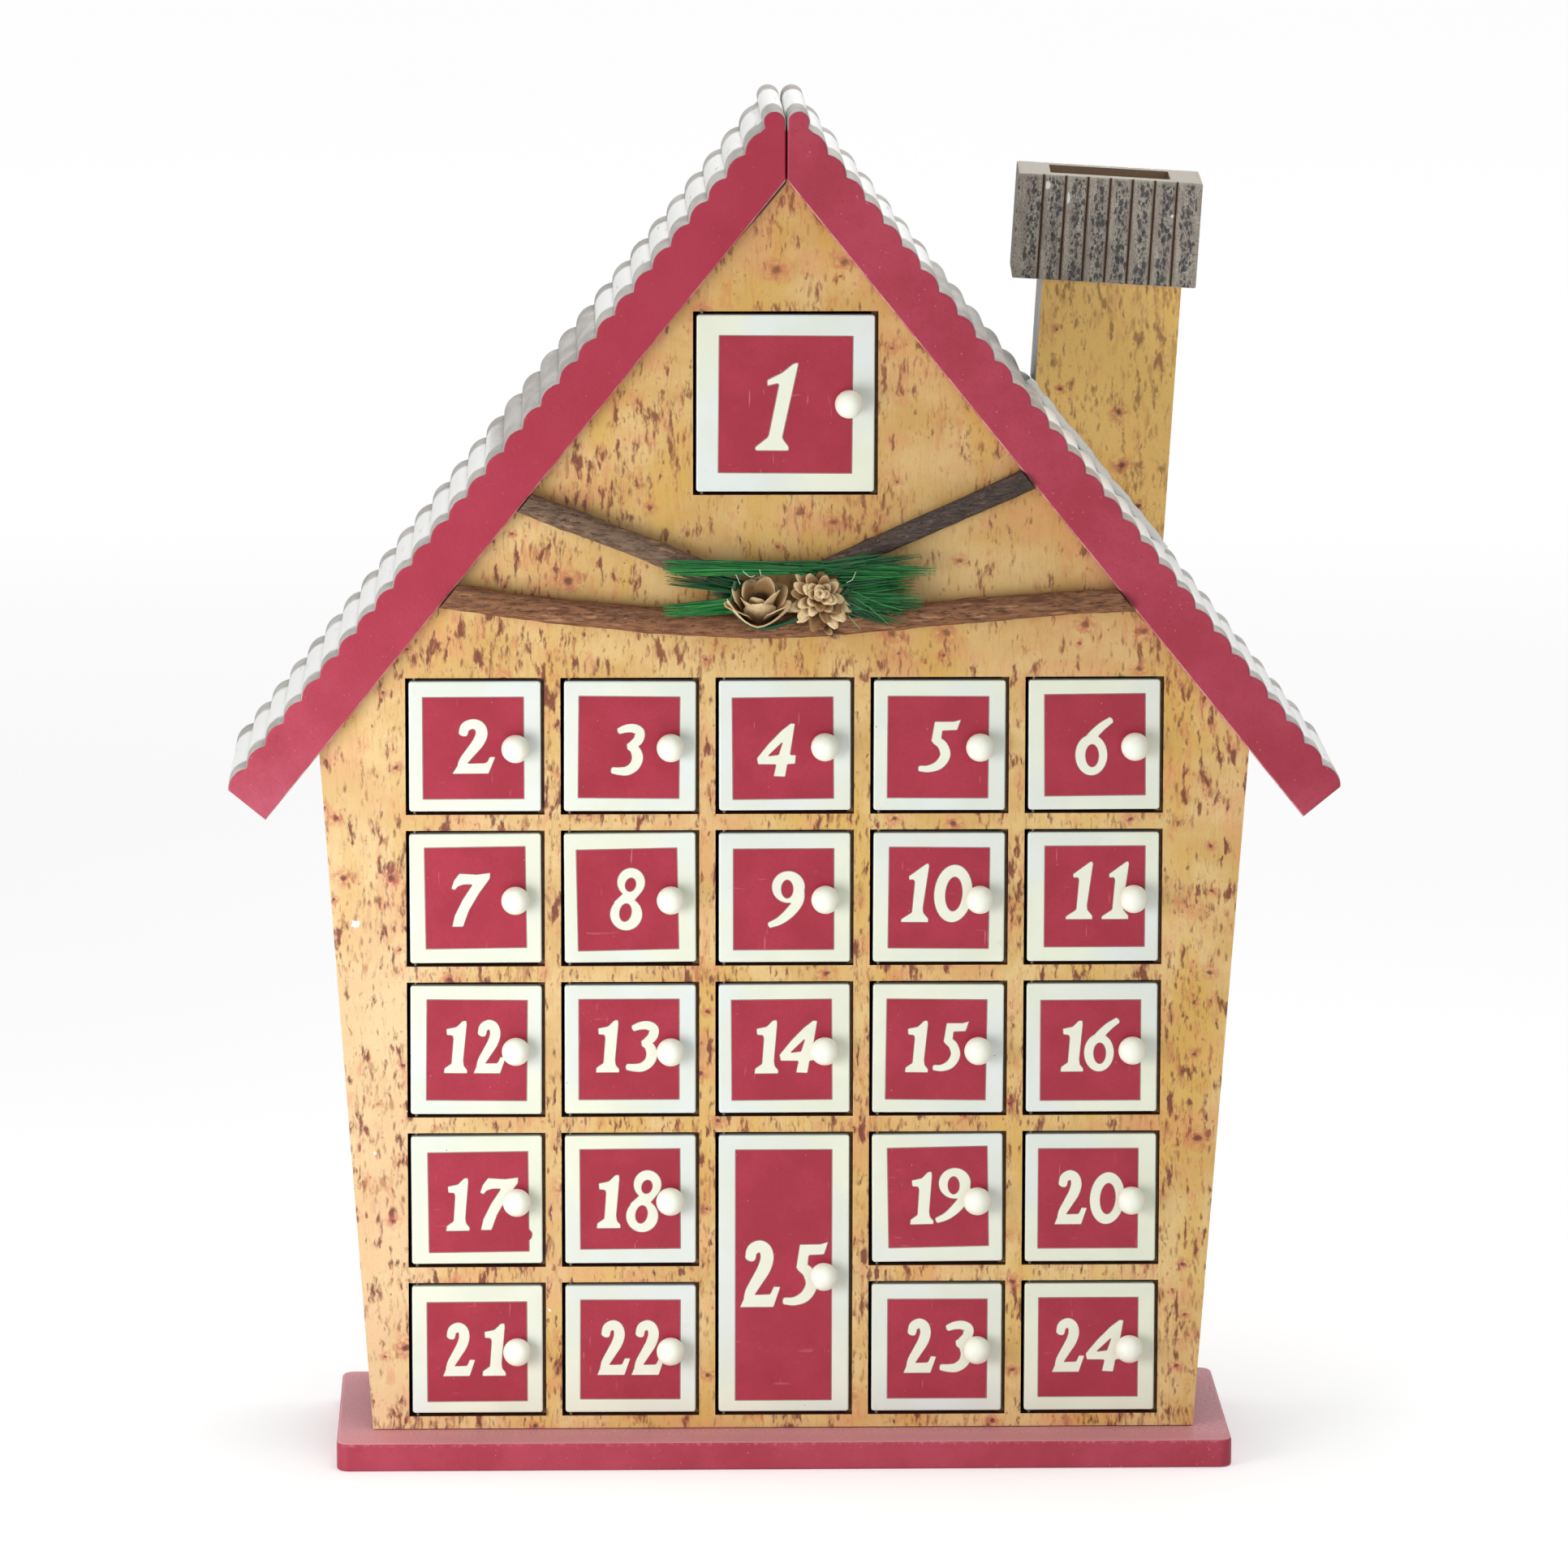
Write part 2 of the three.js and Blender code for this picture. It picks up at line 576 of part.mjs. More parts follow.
function pineSprig() {
  const points = stemPoints();
  const leftEnd = points[0];
  const rightEnd = points[points.length - 1];
  return join([
    limb(points, 10, 5, () => SPRIG.stem),
    wrap(leftEnd),
    wrap(rightEnd),
    ...bunch(leftEnd, LEFT_FAN),
    ...bunch(leftEnd, LOW_FAN),
    ...bunch(rightEnd, RIGHT_FAN),
  ]);
}

// One cone scale: a thin fan that widens from its root and ends in a rounded lip
function coneScale(length, width) {
  const shape = outline([
    [-width * 0.16, 0], [width * 0.16, 0], [width * 0.5, length * 0.66], [width * 0.26, length],
    [-width * 0.26, length], [-width * 0.5, length * 0.66],
  ]);
  const geometry = new THREE.ExtrudeGeometry(shape, { depth: CONE.scale, bevelEnabled: false });
  geometry.translate(0, 0, -CONE.scale / 2);
  return geometry;
}

// Scales climb the axis by the golden angle, wide open at the foot and nearly shut at the tip
function pineCone(cone, obstacles) {
  const place = new THREE.Matrix4().makeRotationFromEuler(
    new THREE.Euler(radians(cone.tilt), radians(cone.turn), 0, "YXZ"),
  );
  place.setPosition(decorPoint(cone.at[0], cone.out, cone.at[1]));
  const core = new THREE.SphereGeometry(1, 8, 6);
  core.rotateX(Math.PI / 2);
  core.scale(cone.radius * CONE.coreShare, cone.radius * CONE.coreShare, cone.length * 0.4);
  core.applyMatrix4(place);
  const pieces = [solid(core)];
  for (let index = 0; index < cone.scales; index += 1) {
    const share = (index + 0.5) / cone.scales;
    const turn = radians(CONE.golden) * index;
    const open = radians(THREE.MathUtils.lerp(84, 16, share));
    const outward = new THREE.Vector3(
      Math.sin(open) * Math.cos(turn), Math.sin(open) * Math.sin(turn), Math.cos(open),
    );
    const facing = outward.clone().transformDirection(place);
    if (facing.y > 0.3) continue;
    const across = new THREE.Vector3(-Math.sin(turn), Math.cos(turn), 0);
    const normal = across.clone().cross(outward);
    const length = cone.radius * THREE.MathUtils.lerp(1, 0.5, share);
    const geometry = coneScale(length, cone.radius * THREE.MathUtils.lerp(0.78, 0.42, share));
    const stance = new THREE.Matrix4().makeBasis(across, outward, normal);
    stance.setPosition(0, 0, cone.length * THREE.MathUtils.lerp(-0.34, 0.26, share));
    geometry.applyMatrix4(place.clone().multiply(stance));
    pieces.push(solid(geometry));
  }
  return cut(join(pieces), obstacles);
}

// Assembly
const house = new THREE.Group();

function add(name, body, look, group = house) {
  const mesh = new THREE.Mesh(surface(body), paint(look.color, look.roughness));
  mesh.name = name;
  group.add(mesh);
  return mesh;
}

add("base_plinth", basePlinth(), redPaint);
add("front_panel", frontPanel(), printedWood);
add("back_panel", backPanel(), fibreboard);
add("side_wall_left", sideWall(-1), ribPaint);
add("side_wall_right", sideWall(1), ribPaint);
for (const [name, body] of [...crate(), ...gableBox()]) {
  add(name, body, fibreboard);
}
add("roof_left", roofBoard(-1), redPaint);
add("roof_right", roofBoard(1), redPaint);

const chimney = chimneyGroup();
house.add(chimney);
add("chimney_shaft", chimneyShaft(chimney), printedWood, chimney);
add("chimney_cap", chimneyCap(), ribPaint, chimney).position.set(CAP.shift, 0, SHAFT.height + GAP.seat);

const doors = new THREE.Group();
house.add(doors);
openings.forEach((opening, index) => {
  const name = `door_${String(index + 1).padStart(2, "0")}`;
  add(name, door(opening), creamPaint, doors).position.set(hingeX(opening), hingeY, opening.sill + GAP.door);
});

const roofLine = underRoof();
add("twig_lower", lowerTwig().intersect(roofLine), bark);
add("twig_upper_left", upperTwig(LEFT_TWIG).intersect(roofLine), bark);
add("twig_upper_right", upperTwig(RIGHT_TWIG).intersect(roofLine), bark);
add("pine_sprig", pineSprig(), pineGreen);
const stem = stemPoints();
const besideCones = [
  lowerTwig(GAP.seat),
  limb(stem, 10, 5, () => SPRIG.stem + GAP.seat),
  wrap(stem[0], GAP.seat),
  wrap(stem[stem.length - 1], GAP.seat),
];
add("pinecone_left", pineCone(LEFT_CONE, besideCones), coneBrown);
add("pinecone_right", pineCone(RIGHT_CONE, besideCones), coneBrown);

export default house;
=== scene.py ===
"""House advent calendar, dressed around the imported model. Lengths are in millimetres unless said."""
import math
import random

import bmesh
import bpy
from mathutils import Matrix, Vector, geometry, noise


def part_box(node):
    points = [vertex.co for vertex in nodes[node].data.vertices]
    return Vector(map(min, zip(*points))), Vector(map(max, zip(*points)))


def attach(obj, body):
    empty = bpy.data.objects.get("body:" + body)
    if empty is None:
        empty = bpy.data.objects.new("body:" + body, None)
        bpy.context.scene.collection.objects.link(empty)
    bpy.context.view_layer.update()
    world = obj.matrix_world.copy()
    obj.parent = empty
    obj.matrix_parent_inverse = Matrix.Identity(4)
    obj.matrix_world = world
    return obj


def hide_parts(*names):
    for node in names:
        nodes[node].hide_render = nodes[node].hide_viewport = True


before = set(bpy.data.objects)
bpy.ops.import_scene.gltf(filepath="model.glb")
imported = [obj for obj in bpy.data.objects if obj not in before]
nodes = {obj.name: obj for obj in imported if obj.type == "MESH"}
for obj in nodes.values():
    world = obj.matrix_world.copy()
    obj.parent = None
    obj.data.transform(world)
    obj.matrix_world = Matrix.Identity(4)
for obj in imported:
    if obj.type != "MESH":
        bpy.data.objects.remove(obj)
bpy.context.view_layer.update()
scene = bpy.context.scene
scene.view_settings.view_transform = "Standard"

MM = 0.001
HOUSE_BODY = "house"


def box_mm(node):
    low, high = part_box(node)
    return low / MM, high / MM


FACE_Y = box_mm("front_panel")[0].y  # front face of the front panel and of every closed door

# Roof section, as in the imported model
RIDGE_Z = 403.4
SLOPE = math.radians(51)
BOARD = 14.9
RIB_PITCH = 9.05
RIB_RISE = 1.76
EAVE_RUN = 255.32
RIBS = 29
CREST_TOP = 21.2
CREST_RADIUS = 3.5
CREST_STEP = 15  # degrees
RIB_STEPS = 10
SEAM_HALF = 0.24
ROOF_EDGE = 0.7
ROOF_FRONT, ROOF_BACK = (corner.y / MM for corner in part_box("roof_left"))

# Chimney, in its own leaning frame
CHIMNEY_FOOT = (99.8, 32.5, 306.69)
CHIMNEY_LEAN = math.radians(3.5)
CAP_WIDTH = 57.6
CAP_DEPTH = 35.0
CAP_HEIGHT = 33.0
CAP_SHIFT = -2.2
CAP_BOTTOM = 58.6
CAP_TOP = CAP_BOTTOM + CAP_HEIGHT
CAP_SKEW = math.radians(2.0)
CAP_EDGE = 0.5
HOLE_HALF_WIDTH = CAP_WIDTH / 2 - 10.0
HOLE_HALF_DEPTH = CAP_DEPTH / 2 - 6.0
GROOVE_PITCH = 6.96
GROOVE_DEPTH = 1.0
# Across a groove, and how much of its depth it has there
GROOVE_PROFILE = [(-0.75, 0), (-0.4, 0.35), (-0.22, 0.9), (0, 1), (0.22, 0.9), (0.4, 0.35), (0.75, 0)]


# Node materials
def srgb(red, green, blue):
    """A colour given as it looks on screen, 0 to 255, as linear light with alpha."""
    def linear(value):
        share = value / 255
        return share / 12.92 if share <= 0.04045 else ((share + 0.055) / 1.055) ** 2.4
    return (linear(red), linear(green), linear(blue), 1.0)


class Look:
    """A procedural material being wired. Its methods return node outputs, and lengths are in mm."""

    def __init__(self, name, roughness=0.6, specular=0.3):
        self.material = bpy.data.materials.new(name)
        self.material.use_nodes = True
        self.tree = self.material.node_tree
        self.shader = self.tree.nodes["Principled BSDF"]
        self.shader.inputs["Roughness"].default_value = roughness
        self.shader.inputs["Specular IOR Level"].default_value = specular
        coords = self.tree.nodes.new("ShaderNodeTexCoord")
        self.normal = coords.outputs["Normal"]
        scaled = self.tree.nodes.new("ShaderNodeVectorMath")
        scaled.operation = "SCALE"
        scaled.inputs["Scale"].default_value = 1 / MM
        self.put(scaled.inputs[0], coords.outputs["Object"])
        self.place = scaled.outputs[0]
        self.heights = []

    def put(self, socket, value):
        if isinstance(value, bpy.types.NodeSocket):
            self.tree.links.new(value, socket)
        else:
            socket.default_value = value

    def vector(self, operation, first, second, output=0):
        made = self.tree.nodes.new("ShaderNodeVectorMath")
        made.operation = operation
        self.put(made.inputs[0], first)
        self.put(made.inputs[1], second)
        return made.outputs[output]

    def dot(self, first, second):
        return self.vector("DOT_PRODUCT", first, second, "Value")

    def math(self, operation, first, second=0.0, clamp=False):
        made = self.tree.nodes.new("ShaderNodeMath")
        made.operation = operation
        made.use_clamp = clamp
        self.put(made.inputs[0], first)
        self.put(made.inputs[1], second)
        return made.outputs[0]

    def times(self, *values):
        result = values[0]
        for value in values[1:]:
            result = self.math("MULTIPLY", result, value)
        return result

    def most(self, *values):
        result = values[0]
        for value in values[1:]:
            result = self.math("MAXIMUM", result, value)
        return result

    def inverse(self, value):
        return self.math("SUBTRACT", 1.0, value, clamp=True)

    def step(self, value, low, high, to_low=0.0, to_high=1.0):
        """A smooth step from low to high."""
        made = self.tree.nodes.new("ShaderNodeMapRange")
        made.interpolation_type = "SMOOTHSTEP"
        for key, setting in (("Value", value), ("From Min", low), ("From Max", high),
                             ("To Min", to_low), ("To Max", to_high)):
            self.put(made.inputs[key], setting)
        return made.outputs["Result"]

    def band(self, value, low, high, soft):
        """One between low and high, and zero outside, with soft sides."""
        rise = self.step(value, low - soft, low + soft)
        fall = self.step(value, high - soft, high + soft)
        return self.math("SUBTRACT", rise, fall, clamp=True)

    def axis(self, vector, index):
        made = self.tree.nodes.new("ShaderNodeSeparateXYZ")
        self.put(made.inputs[0], vector)
        return made.outputs[index]

    def joined(self, x, y, z):
        made = self.tree.nodes.new("ShaderNodeCombineXYZ")
        for index, value in enumerate((x, y, z)):
            self.put(made.inputs[index], value)
        return made.outputs[0]

    def noise(self, stretch, detail=2.0, rough=0.5, seed=0.0, place=None, colour=False):
        """Cloud noise from 0 to 1 about 0.5; stretch is cells per mm, even or along X, Y and Z."""
        if not isinstance(stretch, tuple):
            stretch = (stretch, stretch, stretch)
        scaled = self.vector("MULTIPLY", place or self.place, stretch)
        moved = self.vector("ADD", scaled, (seed, seed * 1.7, seed * 2.3))
        made = self.tree.nodes.new("ShaderNodeTexNoise")
        self.put(made.inputs["Vector"], moved)
        made.inputs["Scale"].default_value = 1.0
        made.inputs["Detail"].default_value = detail
        made.inputs["Roughness"].default_value = rough
        return made.outputs[1 if colour else 0]

    def patches(self, stretch, levels, detail=2.0, rough=0.5, seed=0.0, place=None):
        """Cloud noise made into patches by a smooth step between two levels."""
        return self.step(self.noise(stretch, detail, rough, seed, place), *levels)

    def wander(self, stretch, detail, rough, seed):
        """Noise along each axis from -0.5 to 0.5, to shift a place by."""
        return self.vector("SUBTRACT", self.noise(stretch, detail, rough, seed, colour=True), (0.5, 0.5, 0.5))

    def cells(self, stretch, seed=0.0, place=None):
        """Distance to the nearest of scattered points, and a random colour for each point.

        Where the stretch along Y is zero, the points lie on the front's own plane.
        """
        scaled = self.vector("MULTIPLY", place or self.place, stretch)
        moved = self.vector("ADD", scaled, (seed, seed * 1.3, seed * 2.1))
        made = self.tree.nodes.new("ShaderNodeTexVoronoi")
        if stretch[1] == 0:
            moved = self.joined(self.axis(moved, 0), self.axis(moved, 2), 0.0)
            made.voronoi_dimensions = "2D"
        self.put(made.inputs["Vector"], moved)
        made.inputs["Scale"].default_value = 1.0
        return made.outputs["Distance"], made.outputs["Color"]

    def specks(self, pitch, radius, share, seed):
        """Small round spots, on about that share of a loose grid of points."""
        rate = 1 / pitch
        distance, colour = self.cells((rate, rate, rate), seed)
        spot = self.inverse(self.step(distance, radius * rate * 0.5, radius * rate))
        return self.times(spot, self.step(self.axis(colour, 0), 1 - share, 1 - share + 0.02))

    def mix(self, first, second, *factors):
        """The first colour with the second over it, by the product of the factors."""
        made = self.tree.nodes.new("ShaderNodeMix")
        made.data_type = "RGBA"
        self.put(made.inputs[0], self.times(*factors))
        self.put(made.inputs[6], first)
        self.put(made.inputs[7], second)
        return made.outputs[2]

    def facing(self, direction, low, high):
        """One where the surface faces that way, in the object's own frame."""
        return self.step(self.dot(self.normal, direction), low, high)

    def raise_by(self, height, depth):
        """Adds relief of that depth, where height goes from 0 to 1."""
        self.heights.append((height, depth))

    def attribute(self, name):
        made = self.tree.nodes.new("ShaderNodeAttribute")
        made.attribute_name = name
        return made.outputs["Fac"]

    def done(self, colour, roughness=None):
        self.put(self.shader.inputs["Base Color"], colour)
        if roughness is not None:
            self.put(self.shader.inputs["Roughness"], roughness)
        normal = None
        for height, depth in self.heights:
            bump = self.tree.nodes.new("ShaderNodeBump")
            bump.inputs["Strength"].default_value = 1.0
            bump.inputs["Distance"].default_value = depth * MM
            self.put(bump.inputs["Height"], height)
            if normal is not None:
                self.put(bump.inputs["Normal"], normal)
            normal = bump.outputs[0]
        if normal is not None:
            self.put(self.shader.inputs["Normal"], normal)
        return self.material


# Strokes of the wood print: points per mm across and up, reach, share, strength, colour
WOOD_STROKES = [
    (0.42, 0.13, 0.27, 0.60, 0.85, srgb(116, 46, 36)),
    (0.30, 0.20, 0.16, 0.60, 0.70, srgb(168, 70, 64)),
]

# Streaks of the wood print: cells per mm across and up, level, softness, strength, colour
WOOD_STREAKS = [
    (0.26, 0.10, 0.55, 0.14, 0.36, srgb(206, 116, 84)),
    (0.50, 0.12, 0.57, 0.12, 0.60, srgb(158, 88, 54)),
    (0.40, 0.13, 0.565, 0.13, 0.92, srgb(108, 40, 30)),
    (0.90, 0.20, 0.60, 0.14, 0.42, srgb(136, 74, 44)),
]

# White chips on the cap's front: place across and up, and size across and up
CAP_CHIPS = [(-20.2, 88.2, 1.1, 1.5), (-13.6, 84.6, 0.85, 2.1), (19.5, 80.8, 0.8, 0.7)]

# Dabs on the chimney's cap: points per mm across and up, size, share, colour
CAP_DABS = [
    (0.62, 0.36, 0.60, 0.85, srgb(66, 68, 70)),
    (0.95, 0.52, 0.52, 0.95, srgb(54, 56, 60)),
    (1.5, 1.0, 0.48, 1.2, srgb(92, 90, 88)),
]


def wood_print(look, painted_light, painted_light_share, seed=0.0, bold=1.0):
    """Golden print of an aged board: pink clouds, knots, and dark red strokes up the grain, with a pale wash
    of painted light over its ground by the given share.
    """
    wide_shift = look.vector("MULTIPLY", look.wander((0.1, 0, 0.1), 3, 0.6, seed + 9), (2.5, 0, 3.5))
    fine_shift = look.vector("MULTIPLY", look.wander((0.8, 0, 0.55), 2, 0.6, seed + 19), (0.6, 0, 1.4))
    place = look.vector("ADD", look.vector("MULTIPLY", look.place, (1, 0, 1)), wide_shift)
    place = look.vector("ADD", place, fine_shift)
    colour = look.mix(srgb(206, 167, 99), srgb(220, 189, 128),
                      look.patches((0.03, 0, 0.045), (0.38, 0.62), 4, 0.6, seed=seed, place=place))
    golden = look.patches((0.06, 0, 0.02), (0.5, 0.64), 3, seed=seed + 1, place=place)
    colour = look.mix(colour, srgb(208, 166, 72), golden, 0.6)
    clouds = look.patches((0.05, 0, 0.065), (0.5, 0.64), 5, 0.62, seed=seed + 2, place=place)
    colour = look.mix(colour, srgb(218, 150, 106), clouds, 0.42)
    grain = look.patches((1.0, 0, 0.09), (0.5, 0.72), 3, 0.6, seed=seed + 3, place=place)
    colour = look.mix(colour, srgb(170, 120, 62), grain, 0.25)
    # Painted light: a pale wash over the print's ground.
    colour = look.mix(colour, painted_light, painted_light_share)
    crowd = look.patches((0.035, 0, 0.05), (0.36, 0.60), 3, 0.6, seed=seed + 5)
    lift = look.times(look.math("SUBTRACT", crowd, 0.5), 0.07)
    for wide, tall, level, soft, strength, tint in WOOD_STREAKS:
        value = look.noise((wide, 0, tall), 3, 0.6, seed=seed + 20 * wide, place=place)
        value = look.math("ADD", value, lift)
        colour = look.mix(colour, tint, look.step(value, level, level + soft), strength * bold)
    for wide, tall, reach, share, strength, tint in WOOD_STROKES:
        distance, chance = look.cells((wide, 0, tall), seed + 10 * wide, place)
        left_over = look.math("SUBTRACT", look.axis(chance, 0), look.times(crowd, share))
        kept = look.step(left_over, -0.02, 0.0, 1, 0)
        fade = look.step(look.axis(chance, 1), 0.0, 1.0, 0.45, 1.0)
        mark = look.inverse(look.step(distance, reach * 0.2, reach))
        colour = look.mix(colour, tint, mark, kept, fade, strength * bold)
    distance, chance = look.cells((0.052, 0, 0.062), seed + 8, place)
    distance = look.times(distance, look.step(look.axis(chance, 1), 0.0, 1.0, 0.75, 1.9))
    chosen = look.step(look.axis(chance, 0), 0.4, 0.42)
    broken = look.patches((0.45, 0, 0.6), (0.4, 0.56), 4, 0.7, seed=seed + 30, place=place)
    halo = look.times(look.inverse(look.step(distance, 0.06, 0.26)), chosen, broken, 0.7)
    core = look.times(look.inverse(look.step(distance, 0.02, 0.085)), chosen, 0.9)
    colour = look.mix(colour, srgb(190, 92, 76), halo)
    colour = look.mix(colour, srgb(96, 34, 36), core)
    fine = look.noise((1.1, 0, 1.4), 3, 0.6, seed=seed + 40)
    return look.mix(colour, srgb(176, 118, 72), look.step(fine, 0.5, 0.75, 0, 0.2))


# Chips of paint gone from the front panel: place across and up, and radius
CHIPS = [(-133.2, 171.0, 1.9), (63.9, 19.5, 1.0), (-117.0, 111.2, 1.1), (-127.7, 97.9, 0.7),
         (-73.4, 47.4, 0.7)]


def over_slope(look, side):
    """Height of a place over the underside of that side's roof board, square to it."""
    return look.dot(look.vector("SUBTRACT", look.place, (0, 0, RIDGE_Z)),
                    (side * math.sin(SLOPE), 0, math.cos(SLOPE)))


def panel_look():
    look = Look("printed_front_panel", 0.42, 0.4)
    x = look.axis(look.place, 0)
    z = look.axis(look.place, 2)
    # Painted glare: the print is washed paler on the left strip, most of all low down, and over the lower
    # left.
    painted_glare_strip = look.times(look.step(x, -122.0, -96.0, 1.0, 0.0), look.step(z, 150.0, 190.0, 0.34, 0.1))
    painted_glare_low = look.times(look.step(x, -110.0, 30.0, 1.0, 0.0), look.step(z, 200.0, 240.0, 0.16, 0.0))
    colour = wood_print(look, srgb(234, 206, 170), look.math("ADD", painted_glare_strip, painted_glare_low))
    # Painted shade: the gable's middle is painted darker.
    painted_gable_shade = look.times(look.step(z, 236.0, 262.0), look.step(x, -80.0, -10.0), 0.24)
    colour = look.mix(colour, srgb(172, 124, 66), painted_gable_shade)
    ragged = look.noise((1.1, 0, 1.1), 2, seed=31)
    for chip_x, chip_z, radius in CHIPS:
        away = look.vector("DISTANCE", look.joined(x, 0.0, z), (chip_x, 0, chip_z), "Value")
        away = look.math("ADD", away, look.times(look.math("SUBTRACT", ragged, 0.5), radius * 1.4))
        chip = look.inverse(look.step(away, radius * 0.55, radius * 0.8))
        colour = look.mix(colour, srgb(238, 232, 222), chip)
    below = look.math("ADD", over_slope(look, -1), look.step(z, RIDGE_Z - 34.0, RIDGE_Z - 4.0, 0.0, 1.1))
    shade = look.times(look.step(below, -0.2, 0.2), look.step(x, 0.0, 0.3, 1, 0))
    colour = look.mix(colour, srgb(34, 18, 16), shade)
    front = look.facing((0, -1, 0), 0.5, 0.8)
    outer = look.step(look.math("ABSOLUTE", x), 127.5, 129.0)
    fibres = look.noise(0.9, 4, seed=5)
    # Cut edges: the dark brown of scorched fibreboard, made darker still as painted shade inside the narrow
    # door gaps.
    scorched_and_shaded = look.mix(srgb(66, 34, 26), srgb(92, 54, 38), fibres)
    pale_edge = look.mix(srgb(206, 186, 156), srgb(228, 214, 190), fibres)
    edge = look.mix(scorched_and_shaded, pale_edge, outer)
    look.raise_by(look.noise((1.4, 0.2, 0.25), 3, seed=2), 0.035)
    rough = look.patches(0.08, (0.3, 0.7, 0.36, 0.5), 4, seed=12)
    return look.done(look.mix(edge, colour, front), rough)


def shaft_look():
    look = Look("printed_chimney", 0.45, 0.4)
    # Painted light: the chimney's print is washed paler, against the shade that the roof casts on it.
    colour = wood_print(look, srgb(252, 208, 118), 0.75, 4.0, 0.7)
    front = look.facing((0, -1, 0), 0.4, 0.8)
    look.raise_by(look.noise((1.4, 0.6, 0.25), 3, seed=2), 0.04)
    return look.done(look.mix(brushed_grey(look), colour, front))


def brushed_grey(look):
    """Grey-brown paint with whitish dry strokes running up the board."""
    base = look.mix(srgb(136, 130, 122), srgb(170, 164, 156),
                    look.patches((0.06, 0.06, 0.02), (0.35, 0.65), 4, seed=3))
    strokes = look.patches((0.8, 0.8, 0.035), (0.48, 0.62), 3, 0.6, seed=8)
    cover = look.patches((0.05, 0.05, 0.03), (0.36, 0.58, 0.3, 1), 2, seed=14)
    base = look.mix(base, srgb(212, 207, 200), strokes, cover, 0.85)
    dark = look.patches((0.9, 0.9, 0.12), (0.62, 0.72), 3, 0.6, seed=21)
    return look.mix(base, srgb(74, 66, 60), dark, 0.6)


def wall_look():
    look = Look("brushed_grey_wall", 0.7, 0.25)
    look.raise_by(look.noise((0.9, 0.9, 0.05), 3, seed=6), 0.08)
    return look.done(brushed_grey(look))


def red_paint(look, seed=0.0):
    """Rose red with faint mottling, dust specks and darker pores."""
    cloud = look.patches(0.05, (0.3, 0.7), 4, 0.6, seed=seed)
    colour = look.mix(srgb(160, 49, 68), srgb(173, 62, 83), cloud)
    fine = look.noise(1.3, 3, 0.6, seed=seed + 2)
    colour = look.mix(colour, srgb(140, 40, 56), look.step(fine, 0.52, 0.75, 0, 0.45))
    dust = look.most(look.specks(1.7, 0.26, 0.22, seed + 5), look.specks(3.6, 0.36, 0.2, seed + 6))
    colour = look.mix(colour, srgb(206, 120, 132), dust, 0.7)
    return look.mix(colour, srgb(112, 30, 44), look.specks(2.9, 0.3, 0.25, seed + 7), 0.8)


def base_look():
    look = Look("red_base_paint", 0.5, 0.35)
    colour = red_paint(look)
    x, y, z = (look.axis(look.place, index) for index in range(3))
    top = look.facing((0, 0, 1), 0.6, 0.9)
    near_house = look.step(y, FACE_Y - 15, FACE_Y - 1)
    dusty = look.patches(1.1, (0.42, 0.66), 4, 0.65, seed=17)
    # The whole top is painted paler, as painted sheen, with patches of dust that thicken near the house.
    dust_and_sheen = look.math("ADD", look.times(dusty, look.step(near_house, 0, 1, 0.3, 1), 0.25), 0.36)
    colour = look.mix(colour, srgb(250, 200, 204), top, dust_and_sheen)
    # Painted glare: the top's left end is painted paler still.
    painted_glare_left = look.step(x, -140.0, -95.0, 0.4, 0.0)
    colour = look.mix(colour, srgb(255, 172, 180), top, painted_glare_left)
    grit = look.most(look.specks(1.5, 0.24, 0.4, 3.0), look.specks(2.8, 0.36, 0.25, 8.0))
    colour = look.mix(colour, srgb(232, 214, 214), grit, top, near_house, 0.75)
    high = box_mm("base_plinth")[1]
    rim = look.most(look.step(look.math("ABSOLUTE", x), high.x - 1.2, high.x - 0.2),
                    look.step(look.math("ABSOLUTE", y), high.y - 1.2, high.y - 0.2))
    rim = look.times(rim, look.step(z, high.z - 1.6, high.z - 0.3))
    patchy = look.patches(0.5, (0.5, 0.62), 4, 0.7, seed=23)
    colour = look.mix(colour, srgb(206, 120, 128), rim, patchy, 0.5)
    look.raise_by(look.noise(0.9, 4, seed=3), 0.05)
    return look.done(colour)


# Heights between which the left and the right roof's ribs carry no white
BARE_ROOF = {-1: (318, 356), 1: (331, 372)}


def whitened_ribs(look, side, seed, ragged):
    """Grey-brown ribs under a loose band of white, and where the white is."""
    y, z = look.axis(look.place, 1), look.axis(look.place, 2)
    grey = look.mix(srgb(154, 149, 143), srgb(186, 181, 175),
                    look.patches((0.12, 0.04, 0.12), (0.35, 0.65), 4, 0.6, seed=seed + 1))
    dots = look.most(look.specks(1.7, 0.34, 0.5, seed), look.specks(2.6, 0.5, 0.35, seed + 4))
    grey = look.mix(grey, srgb(96, 90, 84), dots, 0.45)
    depth = look.math("SUBTRACT", look.math("ADD", y, look.times(ragged, 9.0)), ROOF_FRONT)
    depth = look.math("DIVIDE", depth, ROOF_BACK - ROOF_FRONT)
    begun = look.math("SUBTRACT", depth, look.step(z, 250, 410, 0.15, 0.27))
    stripe = look.times(look.step(begun, -0.03, 0.04), look.step(depth, 0.78, 0.85, 1, 0))
    bare = look.band(look.math("ADD", z, look.times(ragged, 5.0)), *BARE_ROOF[side], 2.5)
    brushed = look.patches((0.5, 0.05, 0.5), (0.2, 0.4), 4, 0.6, seed=seed + 6)
    snow = look.times(stripe, look.inverse(look.times(bare, 0.92)), brushed)
    return look.mix(grey, srgb(246, 246, 244), snow, 0.97), snow


